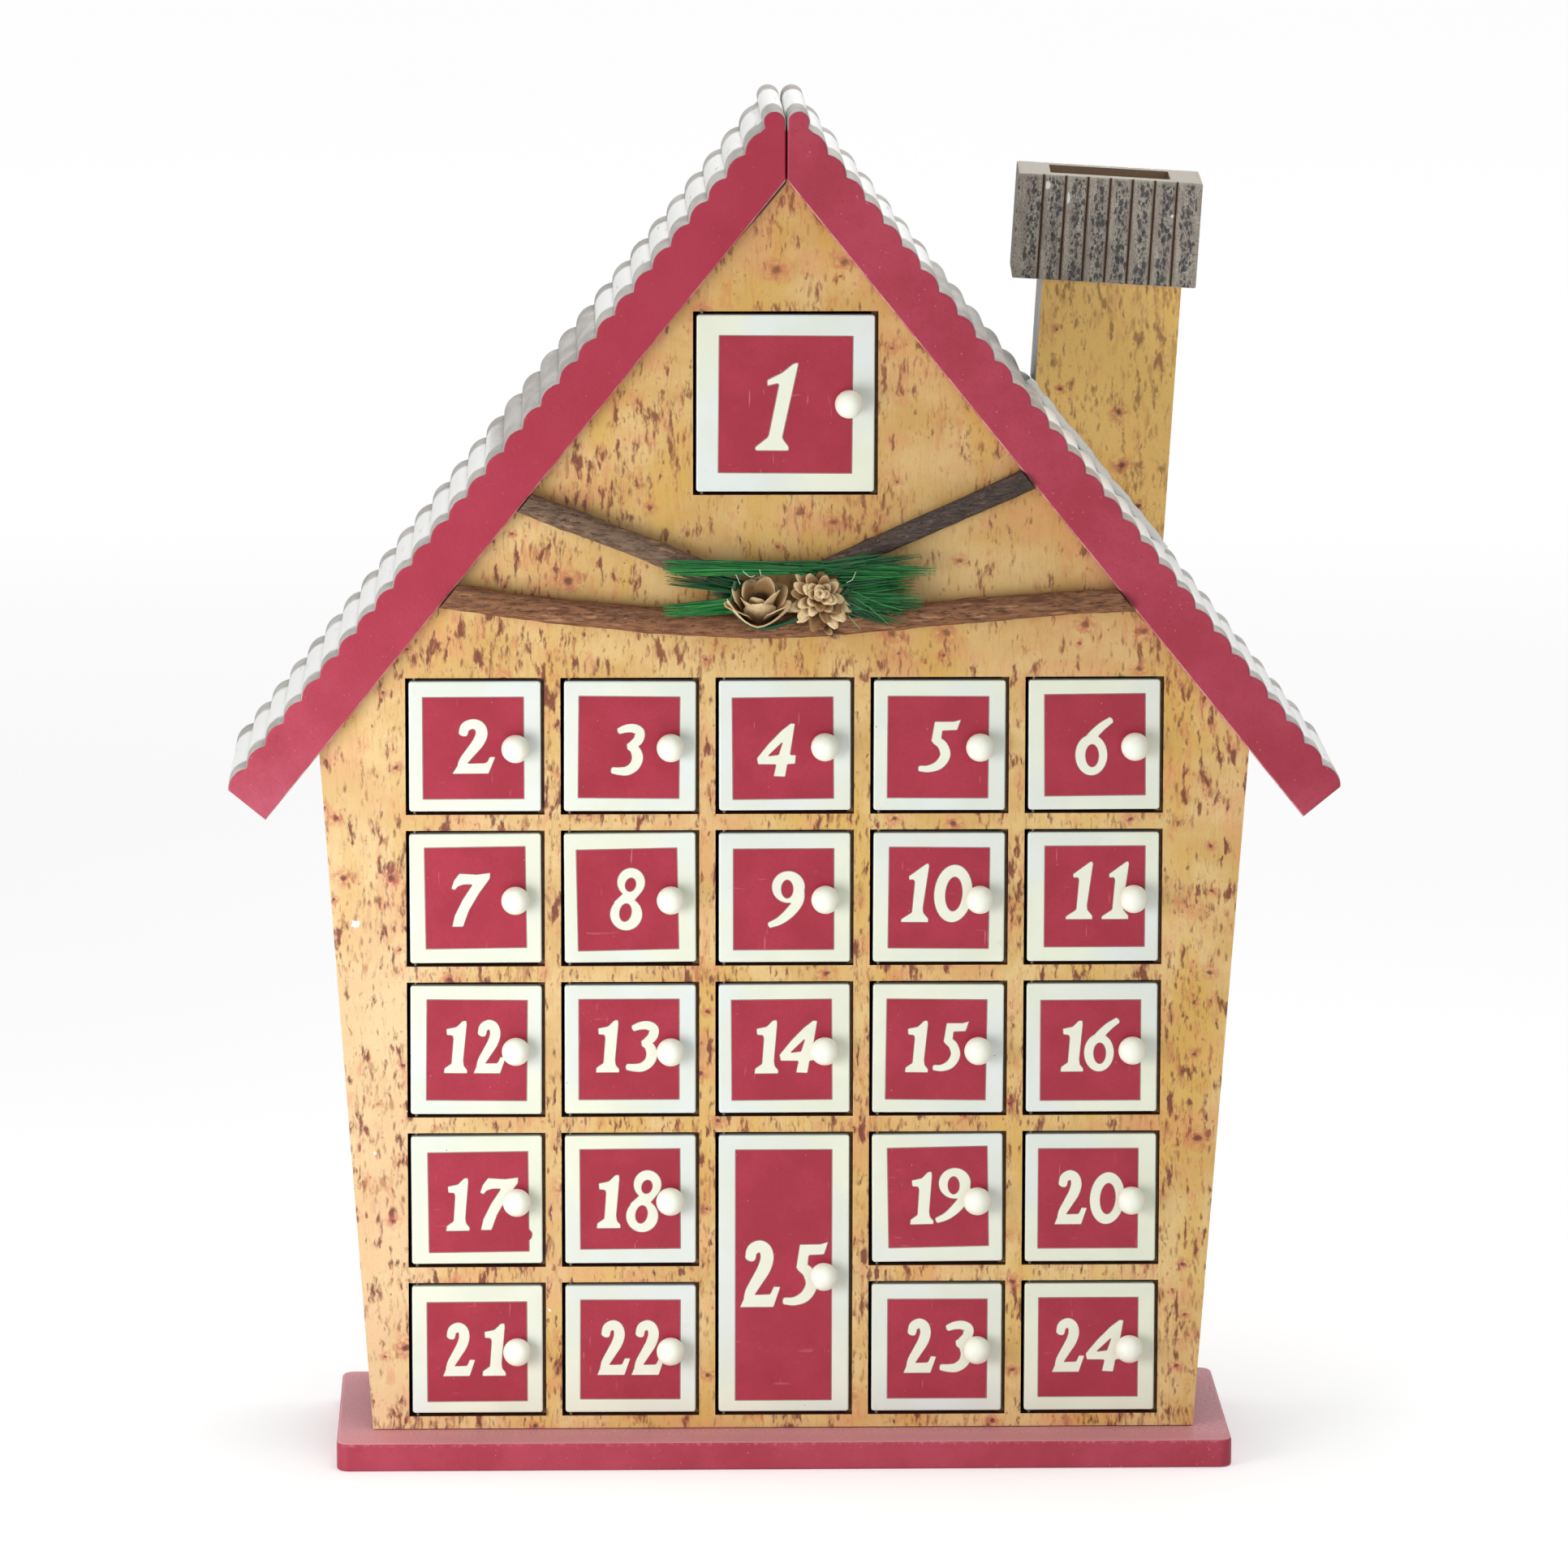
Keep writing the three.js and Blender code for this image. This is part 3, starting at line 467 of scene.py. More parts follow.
def worn_red(look, side, seed, ragged):
    """Red paint of the roof boards' faces: on the left board deeper red higher up and paler low down, where
    the paleness is painted glare; on the right board paler low down; and a pale pink line along the lower
    edge, in patches.
    """
    red = red_paint(look, seed)
    height = look.math("ADD", look.axis(look.place, 2), look.times(ragged, 30.0))
    if side < 0:
        red = look.mix(red, srgb(158, 34, 56), look.step(height, 225, 285), 0.6)
        # Painted glare: the left board's red is paler low down.
        red = look.mix(red, srgb(196, 112, 134), look.step(height, 195, 235, 0.32, 0.0))
    else:
        red = look.mix(red, srgb(190, 112, 124), look.step(height, 195, 215, 0.25, 0.0))
    lower_edge = look.band(over_slope(look, side), -0.6, 0.35, 0.25)
    patchy = look.patches(0.25, (0.4, 0.6, 0.35, 0.9), 4, 0.7, seed=seed + 9)
    return look.mix(red, srgb(222, 168, 158), lower_edge, patchy)


def roof_look(side):
    """Red on the board's faces, and whitened ribs from its top on."""
    look = Look("roof_%s_paint" % ("left" if side < 0 else "right"), 0.55, 0.3)
    seed = 3.0 if side < 0 else 11.0
    ragged = look.math("SUBTRACT", look.noise(0.5, 4, 0.65, seed=seed), 0.5)
    rise = look.math("ADD", over_slope(look, side), look.times(ragged, 1.2))
    on_ribs = look.step(rise, BOARD - 0.6, BOARD + 0.1)
    crest = look.step(look.math("ADD", look.axis(look.place, 2), ragged), RIDGE_Z + 14.5, RIDGE_Z + 16.0)
    toward_front = look.math("ADD", look.dot(look.normal, (0, -1, 0)), look.times(ragged, 0.5))
    on_ribs = look.times(look.most(on_ribs, crest), look.inverse(look.step(toward_front, 0.6, 0.9)))
    ribs, snow = whitened_ribs(look, side, seed, ragged)
    red = worn_red(look, side, seed, ragged)
    look.raise_by(look.noise((1.0, 0.35, 1.0), 4, 0.6, seed=seed + 7), 0.09)
    return look.done(look.mix(red, ribs, on_ribs), look.step(snow, 0, 1, 0.55, 0.85))


def raw_board_look():
    look = Look("raw_fibreboard", 0.85, 0.15)
    fibres = look.noise(0.5, 6, 0.72, seed=2)
    colour = look.mix(srgb(158, 120, 84), srgb(190, 152, 112), look.step(fibres, 0.3, 0.7))
    colour = look.mix(colour, srgb(122, 86, 58), look.specks(1.9, 0.4, 0.4, 5), 0.5)
    look.raise_by(fibres, 0.1)
    return look.done(colour)


def cream_look():
    look = Look("cream_door_paint", 0.36, 0.45)
    # Large bluish patches at random, put in partly as painted shade: the cool shade seen on the frames.
    cool = look.patches(0.016, (0.42, 0.58), 2, seed=21)
    colour = look.mix(srgb(228, 232, 212), srgb(221, 228, 224), cool)
    cloud = look.patches(0.05, (0.35, 0.65), 4, seed=4)
    colour = look.mix(colour, srgb(216, 221, 204), cloud, 0.5)
    stain = look.patches(0.16, (0.66, 0.8), 5, 0.7, seed=9)
    colour = look.mix(colour, srgb(200, 196, 166), stain, 0.6)
    colour = look.mix(colour, srgb(96, 84, 66), look.specks(7.5, 0.3, 0.3, 2), 0.8)
    look.raise_by(look.noise(0.35, 3, seed=6), 0.04)
    return look.done(colour)


def field_look():
    look = Look("red_door_print", 0.36, 0.4)
    cloud = look.patches(0.07, (0.3, 0.7), 4, 0.6, seed=14)
    colour = look.mix(srgb(154, 31, 52), srgb(166, 41, 63), cloud)
    fine = look.noise(1.8, 3, 0.6, seed=3)
    colour = look.mix(colour, srgb(138, 26, 42), look.step(fine, 0.5, 0.72, 0, 0.5))
    scratch = look.patches((0.9, 0.9, 0.07), (0.70, 0.74), 2, 0.5, seed=40)
    across = look.patches((0.09, 0.9, 0.7), (0.715, 0.745), 2, 0.5, seed=47)
    some = look.patches(0.06, (0.48, 0.58), 2, seed=44)
    scratch = look.most(look.times(across, 0.5), scratch)
    colour = look.mix(colour, srgb(206, 122, 132), scratch, some, 0.5)
    dust = look.most(look.specks(5.0, 0.24, 0.4, 6), look.specks(2.4, 0.16, 0.25, 26))
    return look.done(look.mix(colour, srgb(222, 150, 156), dust, 0.7))


def outline_look():
    look = Look("grey_print_line", 0.4, 0.4)
    return look.done(look.mix(srgb(140, 108, 104), srgb(166, 136, 130),
                              look.noise(0.5, 2, seed=3)))


def number_look():
    look = Look("cream_number_print", 0.36, 0.45)
    cloud = look.noise(0.2, 3, seed=8)
    colour = look.mix(srgb(226, 228, 208), srgb(234, 236, 222), cloud)
    return look.done(look.mix(colour, srgb(190, 170, 150), look.specks(4, 0.25, 0.2, 3), 0.6))


def knob_look():
    look = Look("cream_bead_paint", 0.3, 0.5)
    cloud = look.noise(0.3, 3, seed=5)
    colour = look.mix(srgb(240, 244, 226), srgb(247, 250, 238), cloud)
    colour = look.mix(colour, srgb(178, 168, 142), look.specks(4.4, 0.24, 0.2, 7), 0.6)
    look.raise_by(look.noise(0.4, 3, seed=1), 0.05)
    return look.done(colour)


def wire_look():
    look = Look("hinge_wire", 0.5, 0.4)
    look.shader.inputs["Metallic"].default_value = 0.8
    return look.done(look.mix(srgb(84, 78, 72), srgb(118, 112, 106),
                              look.noise((0.8, 0.8, 3.0), 2, seed=1)))


def flock_look():
    look = Look("white_flock", 0.9, 0.15)
    grain = look.noise(1.6, 4, 0.7, seed=4)
    colour = look.mix(srgb(240, 240, 237), srgb(196, 192, 186), look.step(grain, 0.55, 0.75))
    look.raise_by(grain, 0.35)
    return look.done(colour)


def bark_look(name, dark, middle, light, seed):
    look = Look(name, 0.85, 0.2)
    streak = look.noise((0.16, 0.9, 0.9), 4, 0.65, seed=seed)
    colour = look.mix(dark, middle, look.step(streak, 0.32, 0.62))
    flake = look.patches((0.11, 0.5, 0.5), (0.55, 0.7), 4, 0.6, seed=seed + 3)
    colour = look.mix(colour, light, flake, 0.75)
    crack = look.patches((0.3, 2.2, 2.2), (0.58, 0.68), 3, 0.6, seed=seed + 6)
    colour = look.mix(colour, srgb(48, 34, 28), crack, 0.6)
    silver = look.patches((0.25, 1.4, 1.4), (0.6, 0.72), 3, 0.6, seed=seed + 12)
    colour = look.mix(colour, srgb(150, 138, 128), silver, 0.35)
    colour = look.mix(colour, srgb(178, 136, 104), look.specks(2.2, 0.3, 0.25, seed), 0.6)
    look.raise_by(streak, 0.35)
    look.raise_by(look.inverse(crack), 0.2)
    return look.done(colour)


def needle_look():
    look = Look("green_film_needles", 0.34, 0.45)
    tone = look.attribute("tone")
    # The darkest greens are partly painted shade among the needles, and the palest is for glue hairs and film
    # threads.
    colour = look.mix(srgb(8, 54, 26), srgb(18, 110, 46), look.step(tone, 0.0, 0.6))
    colour = look.mix(colour, srgb(58, 152, 70), look.step(tone, 0.6, 0.95))
    colour = look.mix(colour, srgb(206, 214, 200), look.step(tone, 1.15, 1.3))
    fine = look.noise(0.3, 2, seed=2)
    return look.done(look.mix(colour, srgb(8, 70, 44), look.step(fine, 0.5, 0.8, 0, 0.5)))


def cone_look():
    look = Look("dry_cone_scales", 0.8, 0.2)
    tone = look.attribute("tone")
    veins = look.noise(1.6, 4, 0.65, seed=3)
    # Low tones are painted shade among the scales, high tones the pale lips.
    colour = look.mix(srgb(40, 24, 16), srgb(142, 106, 68), look.step(tone, 0.12, 0.45))
    colour = look.mix(colour, srgb(230, 205, 158), look.step(tone, 0.45, 0.85))
    colour = look.mix(colour, srgb(128, 92, 58), look.step(veins, 0.5, 0.72, 0, 0.45))
    look.raise_by(veins, 0.25)
    return look.done(colour)


def dabbed_planks(look, x):
    """Grey-brown planks with black flecks dabbed in a chain up the middle of each."""
    colour = look.mix(srgb(152, 143, 132), srgb(182, 174, 160),
                      look.patches((0.5, 0.3, 0.09), (0.35, 0.65), 4, 0.6, seed=2))
    rosy = look.patches((0.25, 0.25, 0.06), (0.5, 0.62), 3, seed=7)
    colour = look.mix(colour, srgb(158, 140, 132), rosy, 0.6)
    speckle = look.patches((2.2, 2.2, 1.4), (0.5, 0.6), 3, 0.65, seed=15)
    colour = look.mix(colour, srgb(112, 106, 98), speckle, 0.75)
    plank = look.math("ADD", look.math("DIVIDE", x, GROOVE_PITCH), 10.0)
    phase = look.math("FRACT", plank)
    sway = look.math("SUBTRACT", look.noise((0.14, 0.14, 0.2), 2, seed=18), 0.5)
    off_middle = look.math("ABSOLUTE", look.math("ADD", look.math("SUBTRACT", phase, 0.5),
                                                 look.times(sway, 0.5)))
    chain = look.inverse(look.step(off_middle, 0.06, 0.42))
    jitter = look.vector("MULTIPLY", look.wander((1.1, 1.1, 0.8), 2, 0.6, 12), (1.1, 1.1, 1.6))
    jitter = look.vector("ADD", look.place, jitter)
    for across, up, size, share, tint in CAP_DABS:
        distance, chance = look.cells((across, across, up), 40 * across, jitter)
        left_over = look.math("SUBTRACT", look.axis(chance, 0), look.times(chain, share))
        kept = look.step(left_over, -0.08, -0.02, 1, 0)
        dab = look.inverse(look.step(distance, size * 0.5, size))
        colour = look.mix(colour, tint, dab, kept, 0.9)
    return look.mix(colour, srgb(196, 188, 176), look.specks(2.4, 0.3, 0.3, 9), 0.6)


def cap_look():
    """Dabbed planks between brown grooves, with a grey top, raw fibres in the hole and white chips."""
    look = Look("stippled_cap", 0.7, 0.25)
    lean = look.tree.nodes.new("ShaderNodeMapping")
    lean.vector_type = "TEXTURE"
    lean.inputs["Location"].default_value = CHIMNEY_FOOT
    lean.inputs["Rotation"].default_value = (0, CHIMNEY_LEAN, 0)
    look.put(lean.inputs["Vector"], look.place)
    look.place = lean.outputs[0]
    x = look.math("SUBTRACT", look.axis(look.place, 0), CAP_SHIFT)
    z = look.axis(look.place, 2)
    colour = dabbed_planks(look, x)
    upward = (math.sin(CHIMNEY_LEAN), 0, math.cos(CHIMNEY_LEAN))
    downward = tuple(-value for value in upward)
    flat = look.most(look.facing(upward, 0.6, 0.9), look.facing(downward, 0.6, 0.9))
    top = look.mix(srgb(176, 170, 164), srgb(198, 192, 186), look.noise(0.2, 4, seed=3))
    colour = look.mix(colour, top, flat, 0.92)
    lip = look.step(z, CAP_TOP - 1.2, CAP_TOP - 0.5)
    colour = look.mix(colour, srgb(176, 168, 154), lip, 0.6)
    groove = look.times(look.step(look.attribute("groove"), 0.3, 0.9), look.inverse(flat))
    colour = look.mix(colour, srgb(84, 58, 42), groove)
    across = look.math("ABSOLUTE", x)
    inward = look.math("ABSOLUTE", look.axis(look.place, 1))
    inside = look.times(look.step(across, HOLE_HALF_WIDTH + 0.3, HOLE_HALF_WIDTH + 0.9, 1, 0),
                        look.step(inward, HOLE_HALF_DEPTH + 0.3, HOLE_HALF_DEPTH + 2, 1, 0),
                        look.inverse(flat))
    fibres = look.noise(0.6, 4, 0.6, seed=33)
    colour = look.mix(colour, look.mix(srgb(138, 114, 92), srgb(170, 142, 116), fibres), inside)
    for chip_x, chip_z, wide, tall in CAP_CHIPS:
        away = look.vector("SUBTRACT", look.joined(x, 0.0, z), (chip_x, 0, chip_z))
        away = look.vector("DIVIDE", away, (wide, 1, tall))
        chip = look.inverse(look.step(look.vector("LENGTH", away, (0, 0, 0), "Value"), 0.6, 1.0))
        chip = look.times(chip, look.facing((0, -1, 0), 0.5, 0.9))
        colour = look.mix(colour, srgb(236, 236, 232), chip)
    look.raise_by(look.noise((0.9, 0.9, 0.3), 4, seed=5), 0.12)
    return look.done(colour)


# Mesh building
def turns(count):
    """The angles of that many even steps round a circle."""
    return [2 * math.pi * step / count for step in range(count)]


def opened(vertices, faces):
    """A bmesh of those points and faces, and its vertices in their order."""
    work = bmesh.new()
    made = [work.verts.new(vertex) for vertex in vertices]
    for face in faces:
        work.faces.new([made[index] for index in face])
    return work, made


def closed(work):
    """The points and faces of a bmesh, which is freed."""
    work.verts.index_update()
    vertices = [vertex.co.copy() for vertex in work.verts]
    faces = [tuple(vertex.index for vertex in face.verts) for face in work.faces]
    work.free()
    return vertices, faces


def add_piece(name, vertices, faces, look, body=HOUSE_BODY, slot=None, sharp=35, tones=None,
              attribute="tone", face_looks=None):
    """A new piece from points in mm, smooth except where faces meet at more than sharp degrees."""
    mesh = bpy.data.meshes.new(name)
    mesh.from_pydata([tuple(Vector(point) * MM) for point in vertices], [], faces)
    looks = look if isinstance(look, (list, tuple)) else [look]
    for material in looks:
        mesh.materials.append(material)
    if face_looks is not None:
        mesh.polygons.foreach_set("material_index", face_looks)
    if tones is not None:
        layer = mesh.attributes.new(attribute, "FLOAT", "POINT")
        layer.data.foreach_set("value", tones)
    work = bmesh.new()
    work.from_mesh(mesh)
    bmesh.ops.recalc_face_normals(work, faces=work.faces)
    big = [face for face in work.faces if len(face.verts) > 4]
    if big:
        bmesh.ops.triangulate(work, faces=big, ngon_method="EAR_CLIP")
    limit = math.radians(sharp)
    for face in work.faces:
        face.smooth = True
    for edge in work.edges:
        edge.smooth = len(edge.link_faces) == 2 and edge.calc_face_angle(0) < limit
    work.to_mesh(mesh)
    work.free()
    piece = bpy.data.objects.new(name, mesh)
    scene.collection.objects.link(piece)
    piece.modifiers.new("even_shading", "WEIGHTED_NORMAL").keep_sharp = True
    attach(piece, body)
    return piece


def loft(rings, close_start=True, close_end=True):
    """Faces over rings that all have the same number of points."""
    count = len(rings[0])
    vertices = [point for ring in rings for point in ring]
    faces = []
    for level in range(len(rings) - 1):
        for index in range(count):
            after = (index + 1) % count
            near = level * count
            faces.append((near + index, near + after, near + count + after, near + count + index))
    if close_start:
        faces.append(tuple(range(count - 1, -1, -1)))
    if close_end:
        start = (len(rings) - 1) * count
        faces.append(tuple(range(start, start + count)))
    return vertices, faces


class Gather:
    """Collects several shapes into one piece, with a tone and a look number for each."""

    def __init__(self):
        self.vertices = []
        self.faces = []
        self.tones = []
        self.looks = []

    def take(self, vertices, faces, tones=None, look=0):
        start = len(self.vertices)
        self.vertices.extend(vertices)
        self.faces.extend(tuple(index + start for index in face) for face in faces)
        self.tones.extend(tones if tones is not None else [0.5] * len(vertices))
        self.looks.extend(look if isinstance(look, list) else [look] * len(faces))


def rounded_outline(left, bottom, right, top, radius, steps=6):
    points = []
    corners = [(right - radius, bottom + radius, -90), (right - radius, top - radius, 0),
               (left + radius, top - radius, 90), (left + radius, bottom + radius, 180)]
    for centre_x, centre_y, start in corners:
        for step in range(steps + 1):
            angle = math.radians(start + 90 * step / steps)
            points.append((centre_x + radius * math.cos(angle), centre_y + radius * math.sin(angle)))
    return points


def edge_levels(low, high, round_by, steps=3):
    """Levels from low to high with the inset each has where the two edges are rounded."""
    quarter = [math.radians(90 * step / steps) for step in range(steps + 1)]
    rises = [(round_by * (1 - math.cos(angle)), round_by * (1 - math.sin(angle))) for angle in quarter]
    return ([(low + rise, inset) for rise, inset in rises]
            + [(high - rise, inset) for rise, inset in reversed(rises)])


def spline(points, count):
    """Points spread along a smooth curve through the given ones."""
    first = Vector(points[0]) * 2 - Vector(points[1])
    last = Vector(points[-1]) * 2 - Vector(points[-2])
    knots = [first] + [Vector(point) for point in points] + [last]
    spans = len(points) - 1
    result = []
    for index in range(count):
        along = index / (count - 1) * spans
        span = min(int(along), spans - 1)
        t = along - span
        a, b, c, d = knots[span:span + 4]
        result.append(0.5 * ((2 * b) + (c - a) * t + (2 * a - 5 * b + 4 * c - d) * t ** 2
                             + (3 * b - a - 3 * c + d) * t ** 3))
    return result


def tube_rings(centres, sides, radius_at):
    """Rings round a curve that lies mostly across the front, without twist."""
    rings = []
    for index, centre in enumerate(centres):
        before = centres[max(index - 1, 0)]
        after = centres[min(index + 1, len(centres) - 1)]
        tangent = (after - before).normalized()
        across = tangent.cross(Vector((0, 1, 0))).normalized()
        out = across.cross(tangent)
        ring = []
        for angle in turns(sides):
            radius = radius_at(index, angle)
            ring.append(centre + across * radius * math.cos(angle) + out * radius * math.sin(angle))
        rings.append(ring)
    return rings


# Base
BASE_EDGE = 0.9
BASE_CORNER = 4.0


def build_base(material):
    low, high = box_mm("base_plinth")
    rings = []
    for z, inset in edge_levels(low.z, high.z, BASE_EDGE, 4):
        outline = rounded_outline(low.x + inset, low.y + inset, high.x - inset, high.y - inset,
                                  BASE_CORNER - inset, 8)
        rings.append([Vector((x, y, z)) for x, y in outline])
    piece = add_piece("base_board", *loft(rings), material, slot="red_board", sharp=50)
    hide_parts("base_plinth")


# Roof
def roof_section():
    """Right half of the roof's section, x and z, ribs included."""
    sine, cosine = math.sin(SLOPE), math.cos(SLOPE)

    def at(along, above):
        return (along * cosine + above * sine, RIDGE_Z - along * sine + above * cosine)

    radius = (RIB_RISE ** 2 + (RIB_PITCH / 2) ** 2) / (2 * RIB_RISE)
    points = [(SEAM_HALF, RIDGE_Z - SEAM_HALF * math.tan(SLOPE)), at(EAVE_RUN, 0)]
    for rib in range(RIBS):
        for step in range(RIB_STEPS):
            share = step / RIB_STEPS
            across = (share - 0.5) * RIB_PITCH
            rise = math.sqrt(radius ** 2 - across ** 2) - radius + RIB_RISE
            points.append(at(EAVE_RUN - (rib + share) * RIB_PITCH, BOARD + rise))
    middle_x = SEAM_HALF + CREST_RADIUS
    middle_z = RIDGE_Z + CREST_TOP - CREST_RADIUS
    for angle in range(-30, 181, CREST_STEP):
        turn = math.radians(angle)
        points.append((middle_x + CREST_RADIUS * math.cos(turn), middle_z + CREST_RADIUS * math.sin(turn)))
    return points


def inset_section(points, inset):
    """The section moved inwards along each corner's normal."""
    moved = []
    for index, point in enumerate(points):
        before, after = points[index - 1], points[(index + 1) % len(points)]
        direction = Vector((after[0] - before[0], after[1] - before[1]))
        if direction.length < 1e-6:
            moved.append(point)
            continue
        direction.normalize()
        moved.append((point[0] - direction.y * inset, point[1] + direction.x * inset))
    return moved


def build_roof(side, name, node, material):
    section = roof_section()
    rings = []
    for y, inset in edge_levels(ROOF_FRONT, ROOF_BACK, ROOF_EDGE):
        rings.append([Vector((side * x, y, z)) for x, z in inset_section(section, inset)])
    piece = add_piece(name, *loft(rings), material, slot="red_board", sharp=40)
    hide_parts(node)


# Chimney cap
def chimney_point(x, y, z):
    """A point given in the chimney's leaning frame."""
    lean = Matrix.Rotation(CHIMNEY_LEAN, 3, "Y")
    return Vector(CHIMNEY_FOOT) + lean @ Vector((x, y, z))


def cap_point(x, y, z):
    """A point of the cap, whose sides run a little askew of the shaft's."""
    return chimney_point(x + y * math.tan(CAP_SKEW) + CAP_SHIFT, y, z)


def grooved_outline(inset):
    """Cap outline with soft grooves, and how deep in a groove each point is."""
    width, depth = CAP_WIDTH - 2 * inset, CAP_DEPTH - 2 * inset
    starts = [((-width / 2, -depth / 2), (1, 0), CAP_WIDTH, width),
              ((width / 2, -depth / 2), (0, 1), CAP_DEPTH, depth),
              ((width / 2, depth / 2), (-1, 0), CAP_WIDTH, width),
              ((-width / 2, depth / 2), (0, -1), CAP_DEPTH, depth)]
    points = []
    for (start_x, start_y), heading, full, length in starts:
        points.append((start_x, start_y, 0.0))
        count = round(full / GROOVE_PITCH) - 1
        for groove in range(count):
            middle = length / 2 + (groove - (count - 1) / 2) * GROOVE_PITCH
            for offset, share in GROOVE_PROFILE:
                along = middle + offset
                deep = share * GROOVE_DEPTH
                points.append((start_x + heading[0] * along - heading[1] * deep,
                               start_y + heading[1] * along + heading[0] * deep, share))
    return points


def build_cap(material):
    hole = [(side_x * HOLE_HALF_WIDTH, side_y * HOLE_HALF_DEPTH)
            for side_x, side_y in ((-1, -1), (1, -1), (1, 1), (-1, 1))]
    levels = edge_levels(CAP_BOTTOM, CAP_TOP, CAP_EDGE, 2)
    outer, tones = [], []
    for z, inset in levels:
        outline = grooved_outline(inset)
        outer.append([cap_point(x, y, z) for x, y, _ in outline])
        tones.extend(share for _, _, share in outline)
    vertices, faces = loft(outer, False, False)
    first_hole = len(vertices)
    for z in (levels[0][0], levels[-1][0]):
        vertices.extend(cap_point(x, y, z) for x, y in hole)
        tones.extend([0.0] * 4)
    for index in range(4):
        after = (index + 1) % 4
        faces.append((first_hole + index, first_hole + 4 + index, first_hole + 4 + after, first_hole + after))
    count = len(outer[0])
    work, made = opened(vertices, faces)
    for start, hole_start in ((0, first_hole), ((len(outer) - 1) * count, first_hole + 4)):
        loops = made[start:start + count], made[hole_start:hole_start + 4]
        edges = []
        for loop in loops:
            for index, vertex in enumerate(loop):
                edges.append(work.edges.get((vertex, loop[(index + 1) % len(loop)])))
        bmesh.ops.triangle_fill(work, edges=edges, use_beauty=True)
    piece = add_piece("chimney_cap_board", *closed(work), material, slot="taupe_board", sharp=30,
                      tones=tones, attribute="groove")
    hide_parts("chimney_cap")


FLOCK_START = 77.4
FLOCK_STEP = 3.95
FLOCK_Y = 17.5
FLOCK_RADIUS = 1.25
FLOCK_LUMPS = 0.75


def build_foot_snow(look):
    """White flock dabbed where the chimney's front meets the roof."""
    sine, cosine = math.sin(SLOPE), math.cos(SLOPE)
    above = BOARD + RIB_RISE + 0.2
    stops = []
    for step in range(12):
        x = FLOCK_START + FLOCK_STEP * step
        along = (x - above * sine) / cosine
        stops.append((x, FLOCK_Y, RIDGE_Z - along * sine + above * cosine))

    def radius_at(index, angle):
        lump = noise.noise(Vector((index * 0.23, math.cos(angle) * 0.8, math.sin(angle) * 0.8)))
        return FLOCK_RADIUS + FLOCK_LUMPS * lump

    rings = tube_rings(spline(stops, 70), 12, radius_at)
    add_piece("chimney_foot_flock", *loft(rings), look, slot="red_board", sharp=80)


# Doors. A door's number stands on a red field, printed a little off its true place
LEAF_THICK = 4.0
LEAF_EDGE = 0.45
LEAF_CORNER = 0.9
LEAF_TRIM = 0.05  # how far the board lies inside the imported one
HINGE_TRIM = 0.08  # the same on the hinge's side
BOARD_TURN = 0.3  # share of the field's turn that the whole board has
WIRE_STUB = 2.6
WIRE_BITE = 2.0
WIRE_INSET = 1.7722
WIRE_RADIUS = 0.6
FIELD = {1: (40.9, 42.3), 25: (29.9, 80.3)}  # width and height of the first and the tall door's field
FIELD_SIZE = (31.0, 31.7)
FIELD_LINE = 0.3
# How far each layer of print stands out of the board, and how far it reaches in
LINE_PROUD = 0.03
FIELD_PROUD = 0.06
FIGURE_PROUD = 0.1
SMEAR_PROUD = 0.13
PRINT_SUNK = 0.1
PRINT = {  # door: field's shift across and up, and its turn in degrees
    1: (0.0, -0.4, -0.4), 2: (-0.5, -0.5, 0.1), 3: (-0.3, -0.4, -0.6), 4: (-0.6, -0.8, 0.5),
    5: (-0.5, -0.6, -0.3), 6: (0.2, 0.0, 0.5), 7: (0.0, 0.3, 0.7), 8: (-0.8, -0.4, 1.1),
    9: (-0.3, -0.5, 0.1), 10: (0.0, -0.2, -0.5), 11: (0.5, 0.1, 0.0), 12: (0.2, -0.1, -0.6),
    13: (-0.4, 0.0, 0.0), 14: (-0.8, -0.3, 0.4), 15: (-0.6, -0.4, -0.7), 16: (-0.4, -0.8, 0.1),
    17: (0.5, -0.6, 0.6), 18: (-0.1, 0.2, 0.3), 19: (0.2, 0.4, 1.1), 20: (-0.8, -0.2, 0.0),
    21: (-0.1, -0.7, 0.2), 22: (-0.1, -0.2, -0.2), 23: (0.2, -0.4, -0.1), 24: (-0.4, -0.1, 0.0),
    25: (-0.1, -0.5, 0.0),
}
# Door: height of its figures, left and foot of the first, and left of the second, from the field's middle
NUMBER = {
    1: (27.7, -9.5, -14.5), 2: (16.6, -6.6, -7.9), 3: (16.6, -5.8, -8.9), 4: (16.9, -8.0, -8.9),
    5: (16.9, -6.6, -8.2), 6: (17.2, -6.0, -9.5), 7: (16.9, -7.4, -9.1), 8: (16.8, -5.4, -8.3),
    9: (17.0, -5.2, -9.2), 10: (18.4, -11.8, -7.6, -1.4), 11: (18.1, -9.1, -7.1, 2.1),
    12: (16.5, -10.3, -7.2, -1.0), 13: (16.5, -10.4, -7.2, -1.3), 14: (16.8, -8.6, -7.4, -0.6),
    15: (16.3, -9.7, -7.2, -1.3), 16: (16.1, -9.4, -6.7, -1.9), 17: (16.7, -10.3, -9.0, 0.6),
    18: (16.9, -10.6, -9.2, -1.2), 19: (16.6, -8.9, -8.5, -1.2), 20: (16.8, -10.5, -8.2, 0.7),
    21: (16.7, -10.8, -7.7, 1.5), 22: (17.1, -10.4, -8.1, 0.3), 23: (17.0, -10.6, -7.7, 0.5),
    24: (16.8, -11.3, -7.9, -0.6), 25: (20.8, -13.6, -10.1, -0.6),
}
